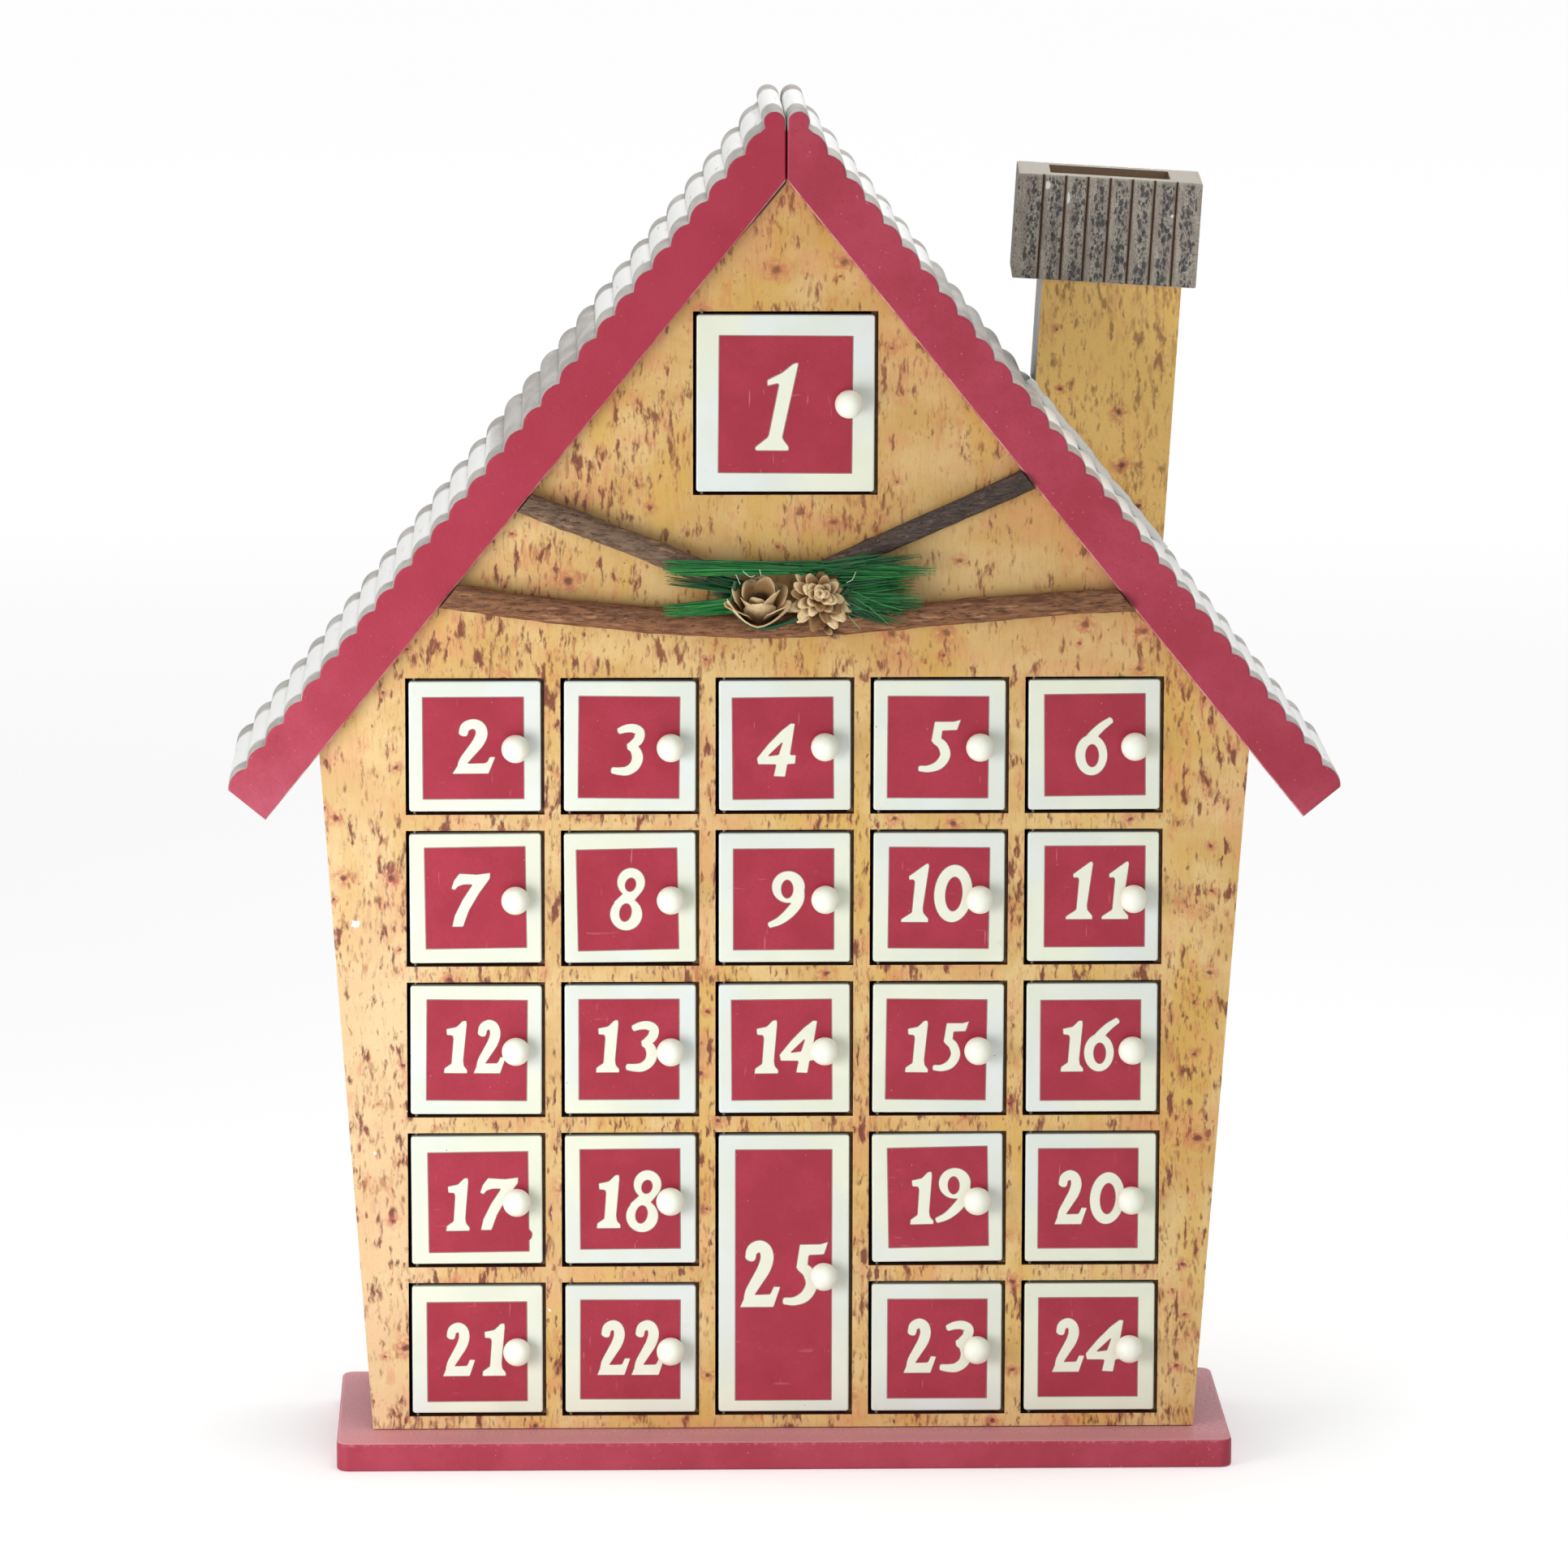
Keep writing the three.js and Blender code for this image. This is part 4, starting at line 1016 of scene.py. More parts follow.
# Each figure's height and how far it hangs below the foot, as shares of the number's height
FIGURE_HEIGHT = {"0": 0.98, "1": 1.0, "2": 1.02, "3": 0.98, "4": 1.0, "5": 1.0, "6": 1.06, "7": 1.0,
                 "8": 1.16, "9": 1.06}
FIGURE_DROP = {"8": 0.08}
NARROWED = {"2": 0.73, "5": 0.86}  # how far a figure is narrowed in a number of two
STROKE = 0.13  # width of a figure's broad strokes
BOLDER = 0.013  # how far the outlines are swelled, as ink spreads
CORNERS = 22  # a shape of fewer points is a polygon whose corners are rounded
SMEARED_DOOR = 17
SMEAR = [(14.6, -8.6), (15.6, -8.9), (16.4, -9.6), (16.7, -10.6), (16.4, -11.9), (15.4, -12.6), (14.0, -12.2),
         (12.6, -12.5), (11.4, -11.6), (12.8, -10.9), (14.2, -10.6), (14.4, -9.6)]


def oval(centre_x, centre_y, across, up, lean=0.0, count=36):
    points = []
    for angle in turns(count):
        y = up * math.sin(angle)
        points.append((centre_x + across * math.cos(angle) + lean * y, centre_y + y))
    return points


def soften(points, reach=0.013):
    """Rounds a polygon's corners twice."""
    for _ in range(2):
        rounded = []
        for index, point in enumerate(points):
            here = Vector(point)
            for other in (points[index - 1], points[(index + 1) % len(points)]):
                toward = Vector(other) - here
                rounded.append(tuple(here + toward * min(0.3, reach / max(toward.length, 1e-6))))
        points = rounded
        reach *= 0.4
    return points


def signed_area(points):
    """Twice a polygon's area, negative where its points run clockwise."""
    return sum(a[0] * b[1] - b[0] * a[1] for a, b in zip(points, points[1:] + points[:1]))


def swell(points, across, up):
    """Moves a polygon's outline outward, or inward by negative amounts."""
    way = math.copysign(1, signed_area(points))
    moved = []
    for index, (x, y) in enumerate(points):
        before, after = points[index - 1], points[(index + 1) % len(points)]
        outward = Vector((after[1] - before[1], before[0] - after[0])).normalized() * way
        moved.append((x + outward.x * across, y + outward.y * up))
    return moved


def bolder(shapes, narrowed=1.0, extra=BOLDER):
    """A figure's shapes with wider strokes, so that a narrowed figure keeps its weight."""
    across = extra + STROKE / 2 * (1 / narrowed - 1)
    sides = []
    for shapes_of_side, sign in zip(shapes, (1, -1)):
        swollen = [swell(points, sign * across, sign * extra) for points in shapes_of_side]
        sides.append([soften(points) if len(points) < CORNERS else points for points in swollen])
    return sides


def pen(stops):
    """Outline of a broad stroke through stops of (x, y, width)."""
    path = spline(stops, 8 * (len(stops) - 1) + 1)
    left, right = [], []
    for index, stop in enumerate(path):
        before = path[max(index - 1, 0)]
        after = path[min(index + 1, len(path) - 1)]
        heading = Vector((after.x - before.x, after.y - before.y)).normalized()
        side = Vector((-heading.y, heading.x)) * stop.z / 2
        left.append((stop.x + side.x, stop.y + side.y))
        right.append((stop.x - side.x, stop.y - side.y))
    caps = []
    for end, inner in ((path[-1], path[-2]), (path[0], path[1])):
        heading = Vector((end.x - inner.x, end.y - inner.y)).normalized()
        side = Vector((-heading.y, heading.x))
        cap = []
        for angle in (60, 30, 0, -30, -60):
            turn = math.radians(angle)
            reach = heading * math.cos(turn) * 0.5 + side * math.sin(turn)
            cap.append((end.x + reach.x * end.z / 2, end.y + reach.y * end.z / 2))
        caps.append(cap)
    return left + caps[0] + right[::-1] + caps[1]


# Each figure: shapes added, then shapes cut away; x and y run from 0 to 1 of the figure's height
FIGURES = {
    "0": ([oval(0.325, 0.5, 0.325, 0.5, 0.05)], [oval(0.335, 0.49, 0.155, 0.31, 0.05)]),
    "1": ([[(0.01, 0), (0.385, 0), (0.39, 0.05), (0.315, 0.15), (0.49, 0.985), (0.47, 1.0), (0.42, 0.985),
            (0.30, 0.885), (0.13, 0.80), (0.135, 0.725), (0.265, 0.755), (0.15, 0.165), (0.0, 0.045)]], []),
    "slab 1": ([[(0, 0), (0.447, 0), (0.44, 0.05), (0.374, 0.13), (0.36, 0.235), (0.424, 0.94), (0.418, 1.0),
                 (0.36, 0.995), (0.24, 0.876), (0.05, 0.838), (0.06, 0.735), (0.168, 0.726), (0.19, 0.66),
                 (0.153, 0.176), (0.02, 0.082)]], []),
    "tall 1": ([[(0, 0), (0.47, 0), (0.46, 0.05), (0.375, 0.15), (0.365, 0.235), (0.465, 0.97), (0.452, 1.0),
                 (0.43, 0.995), (0.13, 0.775), (0.14, 0.725), (0.21, 0.735), (0.24, 0.69),
                 (0.195, 0.16), (0.01, 0.035)]], []),
    "2": ([pen([(0.205, 0.735, 0.15), (0.25, 0.86, 0.17), (0.385, 0.915, 0.17), (0.505, 0.865, 0.19),
                (0.545, 0.74, 0.205), (0.485, 0.58, 0.20), (0.35, 0.405, 0.175), (0.215, 0.235, 0.15),
                (0.15, 0.12, 0.1)]),
           [(0, 0), (0.665, 0), (0.785, 0.305), (0.70, 0.30), (0.65, 0.205), (0.60, 0.18), (0.25, 0.17),
            (0.10, 0.13)]], []),
    "3": ([pen([(0.17, 0.865, 0.11), (0.3, 0.91, 0.14), (0.45, 0.915, 0.16), (0.555, 0.84, 0.18),
                (0.535, 0.70, 0.175), (0.43, 0.60, 0.15), (0.35, 0.57, 0.10)]),
           pen([(0.36, 0.56, 0.10), (0.47, 0.50, 0.175), (0.52, 0.355, 0.2), (0.47, 0.2, 0.185),
                (0.34, 0.1, 0.165), (0.19, 0.085, 0.14), (0.05, 0.1, 0.11)])], []),
    "4": ([[(0.69, 0.985), (0.595, 0.405), (0.705, 0.395), (0.69, 0.24), (0.545, 0.232), (0.505, 0.0),
            (0.305, 0.01), (0.35, 0.232), (0.015, 0.24), (0.0, 0.34), (0.215, 0.605), (0.455, 0.85),
            (0.63, 0.985)]],
          [[(0.465, 0.65), (0.40, 0.40), (0.19, 0.39)]]),
    "5": ([[(0.33, 0.955), (0.68, 0.955), (0.80, 1.0), (0.735, 0.81), (0.465, 0.80), (0.44, 0.62),
            (0.27, 0.585)],
           pen([(0.345, 0.62, 0.14), (0.47, 0.52, 0.165), (0.525, 0.34, 0.175), (0.42, 0.165, 0.16),
                (0.235, 0.085, 0.12), (0.06, 0.085, 0.095)])], []),
    "6": ([oval(0.267, 0.346, 0.267, 0.346),
           pen([(0.6, 0.945, 0.1), (0.44, 0.83, 0.13), (0.28, 0.67, 0.15), (0.14, 0.49, 0.15)])],
          [oval(0.281, 0.335, 0.122, 0.205)]),
    "7": ([[(0.15, 0.99), (0.47, 0.965), (0.715, 0.995), (0.70, 0.90), (0.49, 0.615), (0.30, 0.295),
            (0.195, 0.005), (0.005, 0.005), (0.055, 0.20), (0.205, 0.50), (0.395, 0.785), (0.225, 0.80),
            (0.115, 0.765), (0.055, 0.695), (0.005, 0.715), (0.055, 0.865)]], []),
    "8": ([oval(0.34, 0.774, 0.215, 0.226), oval(0.25, 0.258, 0.25, 0.258),
           pen([(0.44, 0.68, 0.17), (0.3, 0.54, 0.19), (0.13, 0.40, 0.17)])],
          [oval(0.33, 0.735, 0.095, 0.12, 0.1), oval(0.24, 0.285, 0.105, 0.155, 0.1)]),
    "9": ([oval(0.371, 0.727, 0.278, 0.273),
           pen([(0.572, 0.72, 0.14), (0.55, 0.49, 0.16), (0.41, 0.294, 0.165), (0.23, 0.14, 0.13),
                (0.05, 0.06, 0.09)])],
          [oval(0.351, 0.69, 0.112, 0.17)]),
}


OUTLINE_WIDTH = 0.011


def figure_mesh(added, cut):
    """The figure as a flat slab, one unit tall and half a unit thick, with a thin line round its front."""
    points, rings = [], []
    for loop_points in added + cut:
        if signed_area(loop_points) < 0:
            loop_points = loop_points[::-1]
        rings.append(list(range(len(points), len(points) + len(loop_points))))
        points.extend(Vector(point) for point in loop_points)
    flat, _, triangles, _, _, owners = geometry.delaunay_2d_cdt(points, [], rings, 0, 1e-5)
    kept = [triangle for triangle, owner in zip(triangles, owners)
            if owner and all(index < len(added) for index in owner)]
    count = len(flat)
    vertices = [Vector((point.x, level, point.y)) for level in (0.0, 0.5) for point in flat]
    faces = [tuple(triangle) for triangle in kept]
    faces += [tuple(count + index for index in reversed(triangle)) for triangle in kept]
    edges = {(face[index], face[(index + 1) % 3]) for face in kept for index in range(3)}
    for start, end in sorted(edges):
        if (end, start) not in edges:
            faces.append((end, start, count + start, count + end))
    work, _ = opened(vertices, faces)
    loose = [vertex for vertex in work.verts if not vertex.link_faces]
    bmesh.ops.delete(work, geom=loose, context="VERTS")
    bmesh.ops.remove_doubles(work, verts=work.verts, dist=0.004)
    bmesh.ops.recalc_face_normals(work, faces=work.faces)
    front = [face for face in work.faces if face.normal.y < -0.9]
    inset = bmesh.ops.inset_region(work, faces=front, thickness=OUTLINE_WIDTH, use_even_offset=False)
    rim = set(inset["faces"])
    looks = [1 if face in rim else 0 for face in work.faces]
    vertices, faces = closed(work)
    return vertices, faces, looks


def lathe(profile, centre, sides=32):
    """A turned shape whose axis points out of the door; profile is (radius, distance out)."""
    rings = []
    for radius, out in profile:
        rings.append([Vector((centre[0] + radius * math.cos(angle), centre[1] - out,
                              centre[2] + radius * math.sin(angle))) for angle in turns(sides)])
    return loft(rings)


KNOB_RADIUS = 4.4
KNOB_INSET = 8.0
KNOB_SINK = 0.5
KNOB_STEPS = 16
KNOB_FILLET = [(2.9, -0.1), (2.75, 0.25), (2.72, 0.5)]  # radius and distance out of the glue round its foot
KNOB_FLAT_FROM = 0.19  # angle from the knob's axis at which its front goes flat
KNOB_FLAT = (0.45, 0.05)  # the flat's radius, and its distance behind the ball's tip


def knob_profile():
    """Glue fillet, bead, and the small flat at its front."""
    middle = KNOB_RADIUS - KNOB_SINK
    profile = list(KNOB_FILLET)
    start = math.pi - math.asin(KNOB_FILLET[-1][0] / KNOB_RADIUS)
    for step in range(1, KNOB_STEPS + 1):
        angle = start - (start - KNOB_FLAT_FROM) * step / KNOB_STEPS
        profile.append((KNOB_RADIUS * math.sin(angle), middle + KNOB_RADIUS * math.cos(angle)))
    flat_radius, behind_tip = KNOB_FLAT
    return profile + [(flat_radius, middle + KNOB_RADIUS - behind_tip)]


def build_board(node, body, left, bottom, right, top, turn, look):
    """A door's board, turned a little in its opening about its hinge side."""
    board_turn = Matrix.Rotation(-math.radians(turn * BOARD_TURN), 3, "Y")
    pivot = Vector((left, 0, (bottom + top) / 2))
    rings = []
    for y, inset in edge_levels(FACE_Y, FACE_Y + LEAF_THICK, LEAF_EDGE):
        trim = LEAF_TRIM + inset
        outline = rounded_outline(left + HINGE_TRIM + inset, bottom + trim, right - trim, top - trim,
                                  LEAF_CORNER - inset, 5)
        rings.append([board_turn @ (Vector((x, y, z)) - pivot) + pivot for x, z in outline])
    leaf = add_piece(node + "_board", *loft(rings), look, body, "door_board", 40)
    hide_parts(node)


def build_wire(node, body, left, spans, look):
    """The ends of the hinge wire, one for each span of heights."""
    wire = Gather()
    for span in spans:
        wire.take(*loft([[Vector((left + WIRE_INSET + WIRE_RADIUS * math.cos(angle),
                                  FACE_Y + LEAF_THICK / 2 + WIRE_RADIUS * math.sin(angle), z))
                          for angle in turns(14)] for z in span]))
    add_piece(node + "_hinge_wire", wire.vertices, wire.faces, look, body, sharp=50)


def figure_form(door, figure):
    """The form that a figure has in that door's number, and its share of its full width."""
    if door > 9 and figure == "1":
        return "tall 1" if door < 12 else "slab 1", 1.0
    if door > 9 and figure in NARROWED:
        return "narrow " + figure, NARROWED[figure]
    return figure, 1.0


def build_print(door, node, body, middle, turn, figures, looks):
    """Red field with its grey line, and the number, as thin layers of print on the door."""
    rotate = Matrix.Rotation(-math.radians(turn), 3, "Y")
    width, height = FIELD.get(door, FIELD_SIZE)

    def layer(outline, proud):
        return loft([[rotate @ Vector((x, 0, z)) + middle + Vector((0, FACE_Y - out, 0)) for x, z in outline]
                     for out in (-PRINT_SUNK, proud)])

    def rectangle(beyond, corner):
        across, up = width / 2 + beyond, height / 2 + beyond
        return rounded_outline(-across, -up, across, up, corner, 2)

    field = Gather()
    field.take(*layer(rectangle(FIELD_LINE, 0.25), LINE_PROUD), look=1)
    field.take(*layer(rectangle(0.0, 0.15), FIELD_PROUD))
    if door == SMEARED_DOOR:
        field.take(*layer(soften(SMEAR, 0.3), SMEAR_PROUD))
    add_piece(node + "_field", field.vertices, field.faces, [looks["field"], looks["line"]], body,
              "red_board", 30, face_looks=field.looks)
    size, first_left, foot, *next_left = NUMBER[door]
    number = Gather()
    for place, (figure, left) in enumerate(zip(str(door), [first_left] + next_left)):
        form, narrowed = figure_form(door, figure)
        tall = size * FIGURE_HEIGHT[figure]
        wide = tall * narrowed
        vertices, faces, marks = figures[form]
        base = foot - size * FIGURE_DROP.get(figure, 0.0)
        proud = FIGURE_PROUD + 0.01 * place
        number.take([rotate @ Vector((left + v.x * wide, 0, base + v.z * tall)) + middle
                     + Vector((0, FACE_Y - proud + v.y * 0.2, 0)) for v in vertices], faces, look=list(marks))
    add_piece(node + "_number", number.vertices, number.faces, [looks["number"], looks["line"]], body,
              "door_board", 30, face_looks=number.looks)


def build_doors(looks):
    figures = {figure: figure_mesh(*bolder(shapes)) for figure, shapes in FIGURES.items()}
    figures["1"] = figure_mesh(*bolder(FIGURES["1"], extra=0.0))
    for figure, narrowed in NARROWED.items():
        figures["narrow " + figure] = figure_mesh(*bolder(FIGURES[figure], narrowed))
    chance = random.Random(25)
    for door in range(1, 26):
        node = "door_%02d" % door
        body = node + "_leaf"
        low, high = box_mm(node)
        left, right = low.x, high.x
        bottom, top = low.z + WIRE_STUB, high.z - WIRE_STUB
        middle = Vector(((left + right) / 2, 0, (bottom + top) / 2))
        shift_x, shift_z, turn = PRINT[door]
        build_board(node, body, left, bottom, right, top, turn, looks["cream"])
        build_wire(node, body, left, ((low.z, bottom + WIRE_BITE), (high.z, top - WIRE_BITE)), looks["wire"])
        knob_at = (right - KNOB_INSET + chance.uniform(-0.15, 0.15), FACE_Y,
                   middle.z + chance.uniform(-0.2, 0.2))
        add_piece(node + "_knob", *lathe(knob_profile(), knob_at), looks["knob"], body, "door_board", 60)
        build_print(door, node, body, middle + Vector((shift_x, 0, shift_z)), turn, figures, looks)


# Twigs
ROOF_GAP = 0.3
BARK_STEP = 0.8
# Piece, node, radius, sides round, taper, seed, and points across and up
TWIGS = [
    ("branch_lower", "twig_lower", 4.05, 30, 0.12, 2.0,
     [(-124, 277.6), (-102, 274.5), (-72, 270.1), (-38.3, 266.8), (-9.5, 265.4), (8, 265.6), (43.6, 268.3),
      (83.2, 271.8), (107, 273.2), (124, 273.9)]),
    ("branch_upper_left", "twig_upper_left", 3.6, 26, 0.0, 6.0,
     [(-98, 310.6), (-77, 302.4), (-54.5, 293.8), (-33.3, 285.3), (-24, 281.5)]),
    ("branch_upper_right", "twig_upper_right", 3.8, 26, 0.3, 9.0,
     [(98, 321.8), (74.2, 310.7), (38, 294.3), (15.5, 284.3), (9.5, 281.9)]),
]
# Each twig's bark: its name, and its dark, middle and light colours
BARKS = {
    "branch_lower": ("brown_bark", srgb(96, 64, 46), srgb(140, 98, 70), srgb(182, 134, 98)),
    "branch_upper_left": ("grey_brown_bark", srgb(88, 70, 58), srgb(124, 100, 82), srgb(170, 132, 100)),
    "branch_upper_right": ("dark_bark", srgb(60, 50, 46), srgb(84, 72, 66), srgb(110, 88, 76)),
}


def build_twig(name, node, radius, sides, taper, seed, stops):
    """A branch with ridged bark, swellings and small scars, cut off under the roof boards."""
    path = [Vector((x, FACE_Y - 0.35 - radius * 1.06, z)) for x, z in stops]
    length = sum((b - a).length for a, b in zip(path, path[1:]))
    count = int(length / BARK_STEP)
    centres = spline(path, count)
    for index, centre in enumerate(centres):
        centre.z += 0.5 * noise.noise(Vector((index * 0.02, seed, 0.3)))

    def radius_at(index, angle):
        along = index * BARK_STEP
        round_x, round_z = math.cos(angle), math.sin(angle)
        swell = 0.06 * noise.noise(Vector((along * 0.045, seed, 1.0)))
        ridge = 0.075 * noise.noise(Vector((round_x * 2.4, round_z * 2.4 + seed, along * 0.07)))
        rough = 0.045 * noise.noise(Vector((round_x * 5.5, round_z * 5.5 + seed, along * 0.35)))
        scar = noise.noise(Vector((round_x * 1.4 + seed, round_z * 1.4, along * 0.16)))
        scar = 0.2 * max(0.0, scar - 0.25)
        shrink = 1 - taper * index / count
        return radius * shrink * (0.98 + swell + ridge + rough + scar)

    work, _ = opened(*loft(tube_rings(centres, sides, radius_at)))
    under_ridge = Vector((0, 0, RIDGE_Z - ROOF_GAP / math.cos(SLOPE)))
    for side in (-1, 1):
        normal = Vector((side * math.sin(SLOPE), 0, math.cos(SLOPE)))
        everything = work.verts[:] + work.edges[:] + work.faces[:]
        cut = bmesh.ops.bisect_plane(work, geom=everything, plane_co=under_ridge, plane_no=normal,
                                     clear_outer=True)
        rim = [item for item in cut["geom_cut"] if isinstance(item, bmesh.types.BMEdge)]
        if rim:
            bmesh.ops.holes_fill(work, edges=rim, sides=0)
    piece = add_piece(name, *closed(work), bark_look(*BARKS[name], seed), slot="bark", sharp=60)
    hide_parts(node)


# Sprig of needles
def needle(gather, root, tip, droop, width, tone, chance):
    """A thin tapering blade from root to tip that bows by droop."""
    steps = 5
    middle = (root + tip) / 2 + droop
    heading = (tip - root).normalized()
    across = heading.cross(Vector((0, 1, 0))).normalized()
    across = (Matrix.Rotation(chance.uniform(-1.2, 1.2), 3, heading) @ across).normalized()
    thick = heading.cross(across)
    rings, tones = [], []
    for step in range(steps + 1):
        t = step / steps
        centre = root * (1 - t) ** 2 + middle * 2 * t * (1 - t) + tip * t ** 2
        half = width * (1 - 0.75 * t ** 2) / 2
        rings.append([centre - across * half, centre + thick * half * 0.45, centre + across * half])
        tones.extend([tone * (0.75 + 0.35 * t)] * 3)
    gather.take(*loft(rings), tones)


# Bunches of needles: count, root spread (x, z and depth), tip spread, bow, and tone. Tone varies at random,
# and its low values also paint the shade among the needles.
BUNCHES = [
    (150, (-14, 6), (281.6, 285.4), (5.5, 9.5), (-38.2, -27), (281.2, 286.8), (6.9, 10.6), 0.3, (0.3, 0.95)),
    (60, (-15, -9), (275.0, 279.8), (4.0, 8.0), (-38, -24), (277.8, 283.6), (4.0, 8.5), -0.2, (0.0, 0.35)),
    (46, (-16, -10), (273.0, 280.5), (3.0, 6.0), (-25, -16.5), (274.5, 281.5), (3.0, 7.0), 0.0, (0.0, 0.3)),
    (100, (-17, -8), (269.8, 275.4), (7.6, 9.6), (-38.8, -29), (268.4, 273.2), (7.6, 10.6), -0.3,
     (0.35, 0.95)),
    (110, (-14, 6), (281.2, 285.2), (3.5, 8.5), (6, 24), (281.4, 285.6), (4.0, 9.0), 0.4, (0.2, 0.8)),
    (90, (4, 18), (280.4, 284.6), (4.0, 8.5), (31, 46.8), (280.6, 284.2), (6.5, 10.0), 0.5, (0.25, 0.9)),
    (60, (6, 18), (281.5, 285.5), (5.5, 8.5), (24, 42), (284.6, 289.0), (8.6, 11.0), 0.4, (0.0, 0.45)),
    (110, (15, 20), (273.5, 281.0), (4.5, 9.0), (30, 41), (276.4, 281.6), (5.0, 10.0), 0.2, (0.1, 0.85)),
    (110, (15, 20), (270.5, 277.5), (5.0, 9.0), (29, 43), (269.6, 276.4), (8.0, 10.6), -0.1, (0.0, 0.8)),
    (60, (15, 19), (270.0, 276.0), (6.5, 9.0), (25, 37), (265.6, 270.4), (8.6, 11.0), -0.3, (0.0, 0.5)),
]

# Stray glue hairs and pale film threads: points across and up, and tone
HAIRS = [
    ([(18.5, 279.6), (20.3, 280.6), (21.4, 282.9)], 1.4),
    ([(-15.5, 282.3), (-14.7, 280.6), (-14.2, 279.3)], 1.35),
    ([(-8.2, 283.8), (-7.7, 282.0)], 1.35),
    ([(21.3, 274.8), (26.3, 271.3), (31.5, 266.7)], 1.16),
    ([(19.3, 269.3), (21.0, 267.3), (22.9, 265.2)], 1.2),
    ([(-13.4, 283.4), (-11.2, 281.6), (-9.6, 281.9)], 1.3),
    ([(20.0, 277.3), (27.6, 273.6), (36.0, 271.0)], 1.12),
]

HAIR_OUT = 11.2
HAIR_RADIUS = 0.11
# The wire that the sprig is bound on: points across, out and up
STEM = [(-15.5, 9.0, 280.0), (-16, 9, 271.0), (-8.0, 9.4, 265.4), (3, 9, 268.0), (12, 9, 272.0),
        (19.5, 9, 277.5)]
STEM_RADIUS = 0.8


def build_sprig(look):
    chance = random.Random(7)
    gather = Gather()
    for count, root_x, root_z, root_out, tip_x, tip_z, tip_out, bow, tones in BUNCHES:
        for _ in range(count):
            share = chance.random()
            near = Vector((chance.uniform(*root_x), FACE_Y - chance.uniform(*root_out),
                           root_z[0] + (root_z[1] - root_z[0]) * (0.75 * share + 0.25 * chance.random())))
            far = Vector((chance.uniform(*tip_x), FACE_Y - chance.uniform(*tip_out),
                          tip_z[0] + (tip_z[1] - tip_z[0]) * (0.85 * share + 0.15 * chance.random())))
            needle(gather, near, far, Vector((0, chance.uniform(-0.6, 0.2), bow + chance.uniform(-0.5, 0.5))),
                   chance.uniform(0.36, 0.6), chance.uniform(*tones), chance)
    for points, tone in HAIRS:
        stops = [(x, FACE_Y - HAIR_OUT, z) for x, z in points]
        centres = spline(stops if len(stops) > 2 else stops + stops[-1:], 12)
        centres = [centre for index, centre in enumerate(centres) if index == 0
                   or (centre - centres[index - 1]).length > 0.05]
        vertices, faces = loft(tube_rings(centres, 6, lambda index, angle: HAIR_RADIUS))
        gather.take(vertices, faces, [tone] * len(vertices))
    centres = spline([(x, FACE_Y - out, z) for x, out, z in STEM], 48)
    vertices, faces = loft(tube_rings(centres, 10, lambda index, angle: STEM_RADIUS))
    gather.take(vertices, faces, [0.12] * len(vertices))
    piece = add_piece("needle_sprig", gather.vertices, gather.faces, look, slot="needles", tones=gather.tones)
    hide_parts("pine_sprig")


# Cones
# Scales of the left cone: turn from the front, place along the axis, root's radius, spread, length, width,
# cup and curl
LEFT_SCALES = [
    (0, -5.6, 1.2, 62, 11.4, 20.0, 0.42, 0.1), (70, -4.8, 1.6, 44, 13.2, 10.5, 0.2, 0.4),
    (-72, -4.8, 1.6, 48, 13.2, 10.5, 0.2, 0.4), (128, -4.2, 1.6, 32, 13.4, 11.5, 0.18, 0.5),
    (-128, -4.2, 1.6, 36, 13.0, 11.5, 0.18, 0.5), (178, -4.0, 1.6, 24, 13.2, 11.5, 0.18, 0.4),
    (3, -4.8, 3.2, 11, 9.6, 9.8, 0.22, 0.0), (50, -3.4, 2.4, 14, 12.4, 8.2, 0.2, 0.3),
    (-60, -3.4, 2.2, 24, 9.4, 8.4, 0.2, 0.3), (150, -2.0, 1.4, 14, 11.6, 8.0, 0.16, 0.5),
    (-146, -2.0, 1.4, 18, 11.0, 8.0, 0.16, 0.5), (-14, -2.0, 1.4, 8, 8.4, 5.6, 0.2, 0.4),
]

RIGHT_SCALE_COUNT = 46
LEFT_CONE_AT = (-8.4, FACE_Y - 10.1, 271.4)
LEFT_CONE_AXIS = (0.04, -0.34, 1)
LEFT_FINISH = (0.7, 0.9, 0.8, 1.1)
RIGHT_CONE_AT = (10.2, FACE_Y - 11.4, 275.3)
RIGHT_CONE_AXIS = (0.02, -1, 0.28)
RIGHT_FINISH = (0.85, 1.5, 1.0, 0.7)
RIGHT_LOOSE = 2.6  # how much further its scales stray than the left cone's
# Scales that have come away under the right cone: place, direction, across, length and width
RIGHT_STRAYS = [
    ((13.6, FACE_Y - 8.6, 264.0), (0.8, -0.3, -0.7), (0.5, -0.6, 0.5), 3.6, 2.2),
    ((12.4, FACE_Y - 8.8, 265.6), (0.5, -0.4, -0.8), (0.8, -0.3, 0.4), 3.0, 2.2),
]
CONE_CORE = (2.6, 10.0)  # radius and length of the spindle
# The spindle is painted nearly black: painted shade in the cone's heart.
CORE_TONE = 0.05


def spiral_scales():
    """Small scales wound in a spiral from the back of the cone to its tip."""
    scales = []
    for index in range(RIGHT_SCALE_COUNT):
        t = index / (RIGHT_SCALE_COUNT - 1)
        scales.append((137.5 * index, -5.4 + 10.0 * t ** 1.1, 1.9 - 1.7 * t ** 2, 98 - 94 * t ** 1.3,
                       9.5 - 5.6 * t ** 1.2, 4.6 - 1.6 * t, 0.16, 0.8))
    return scales


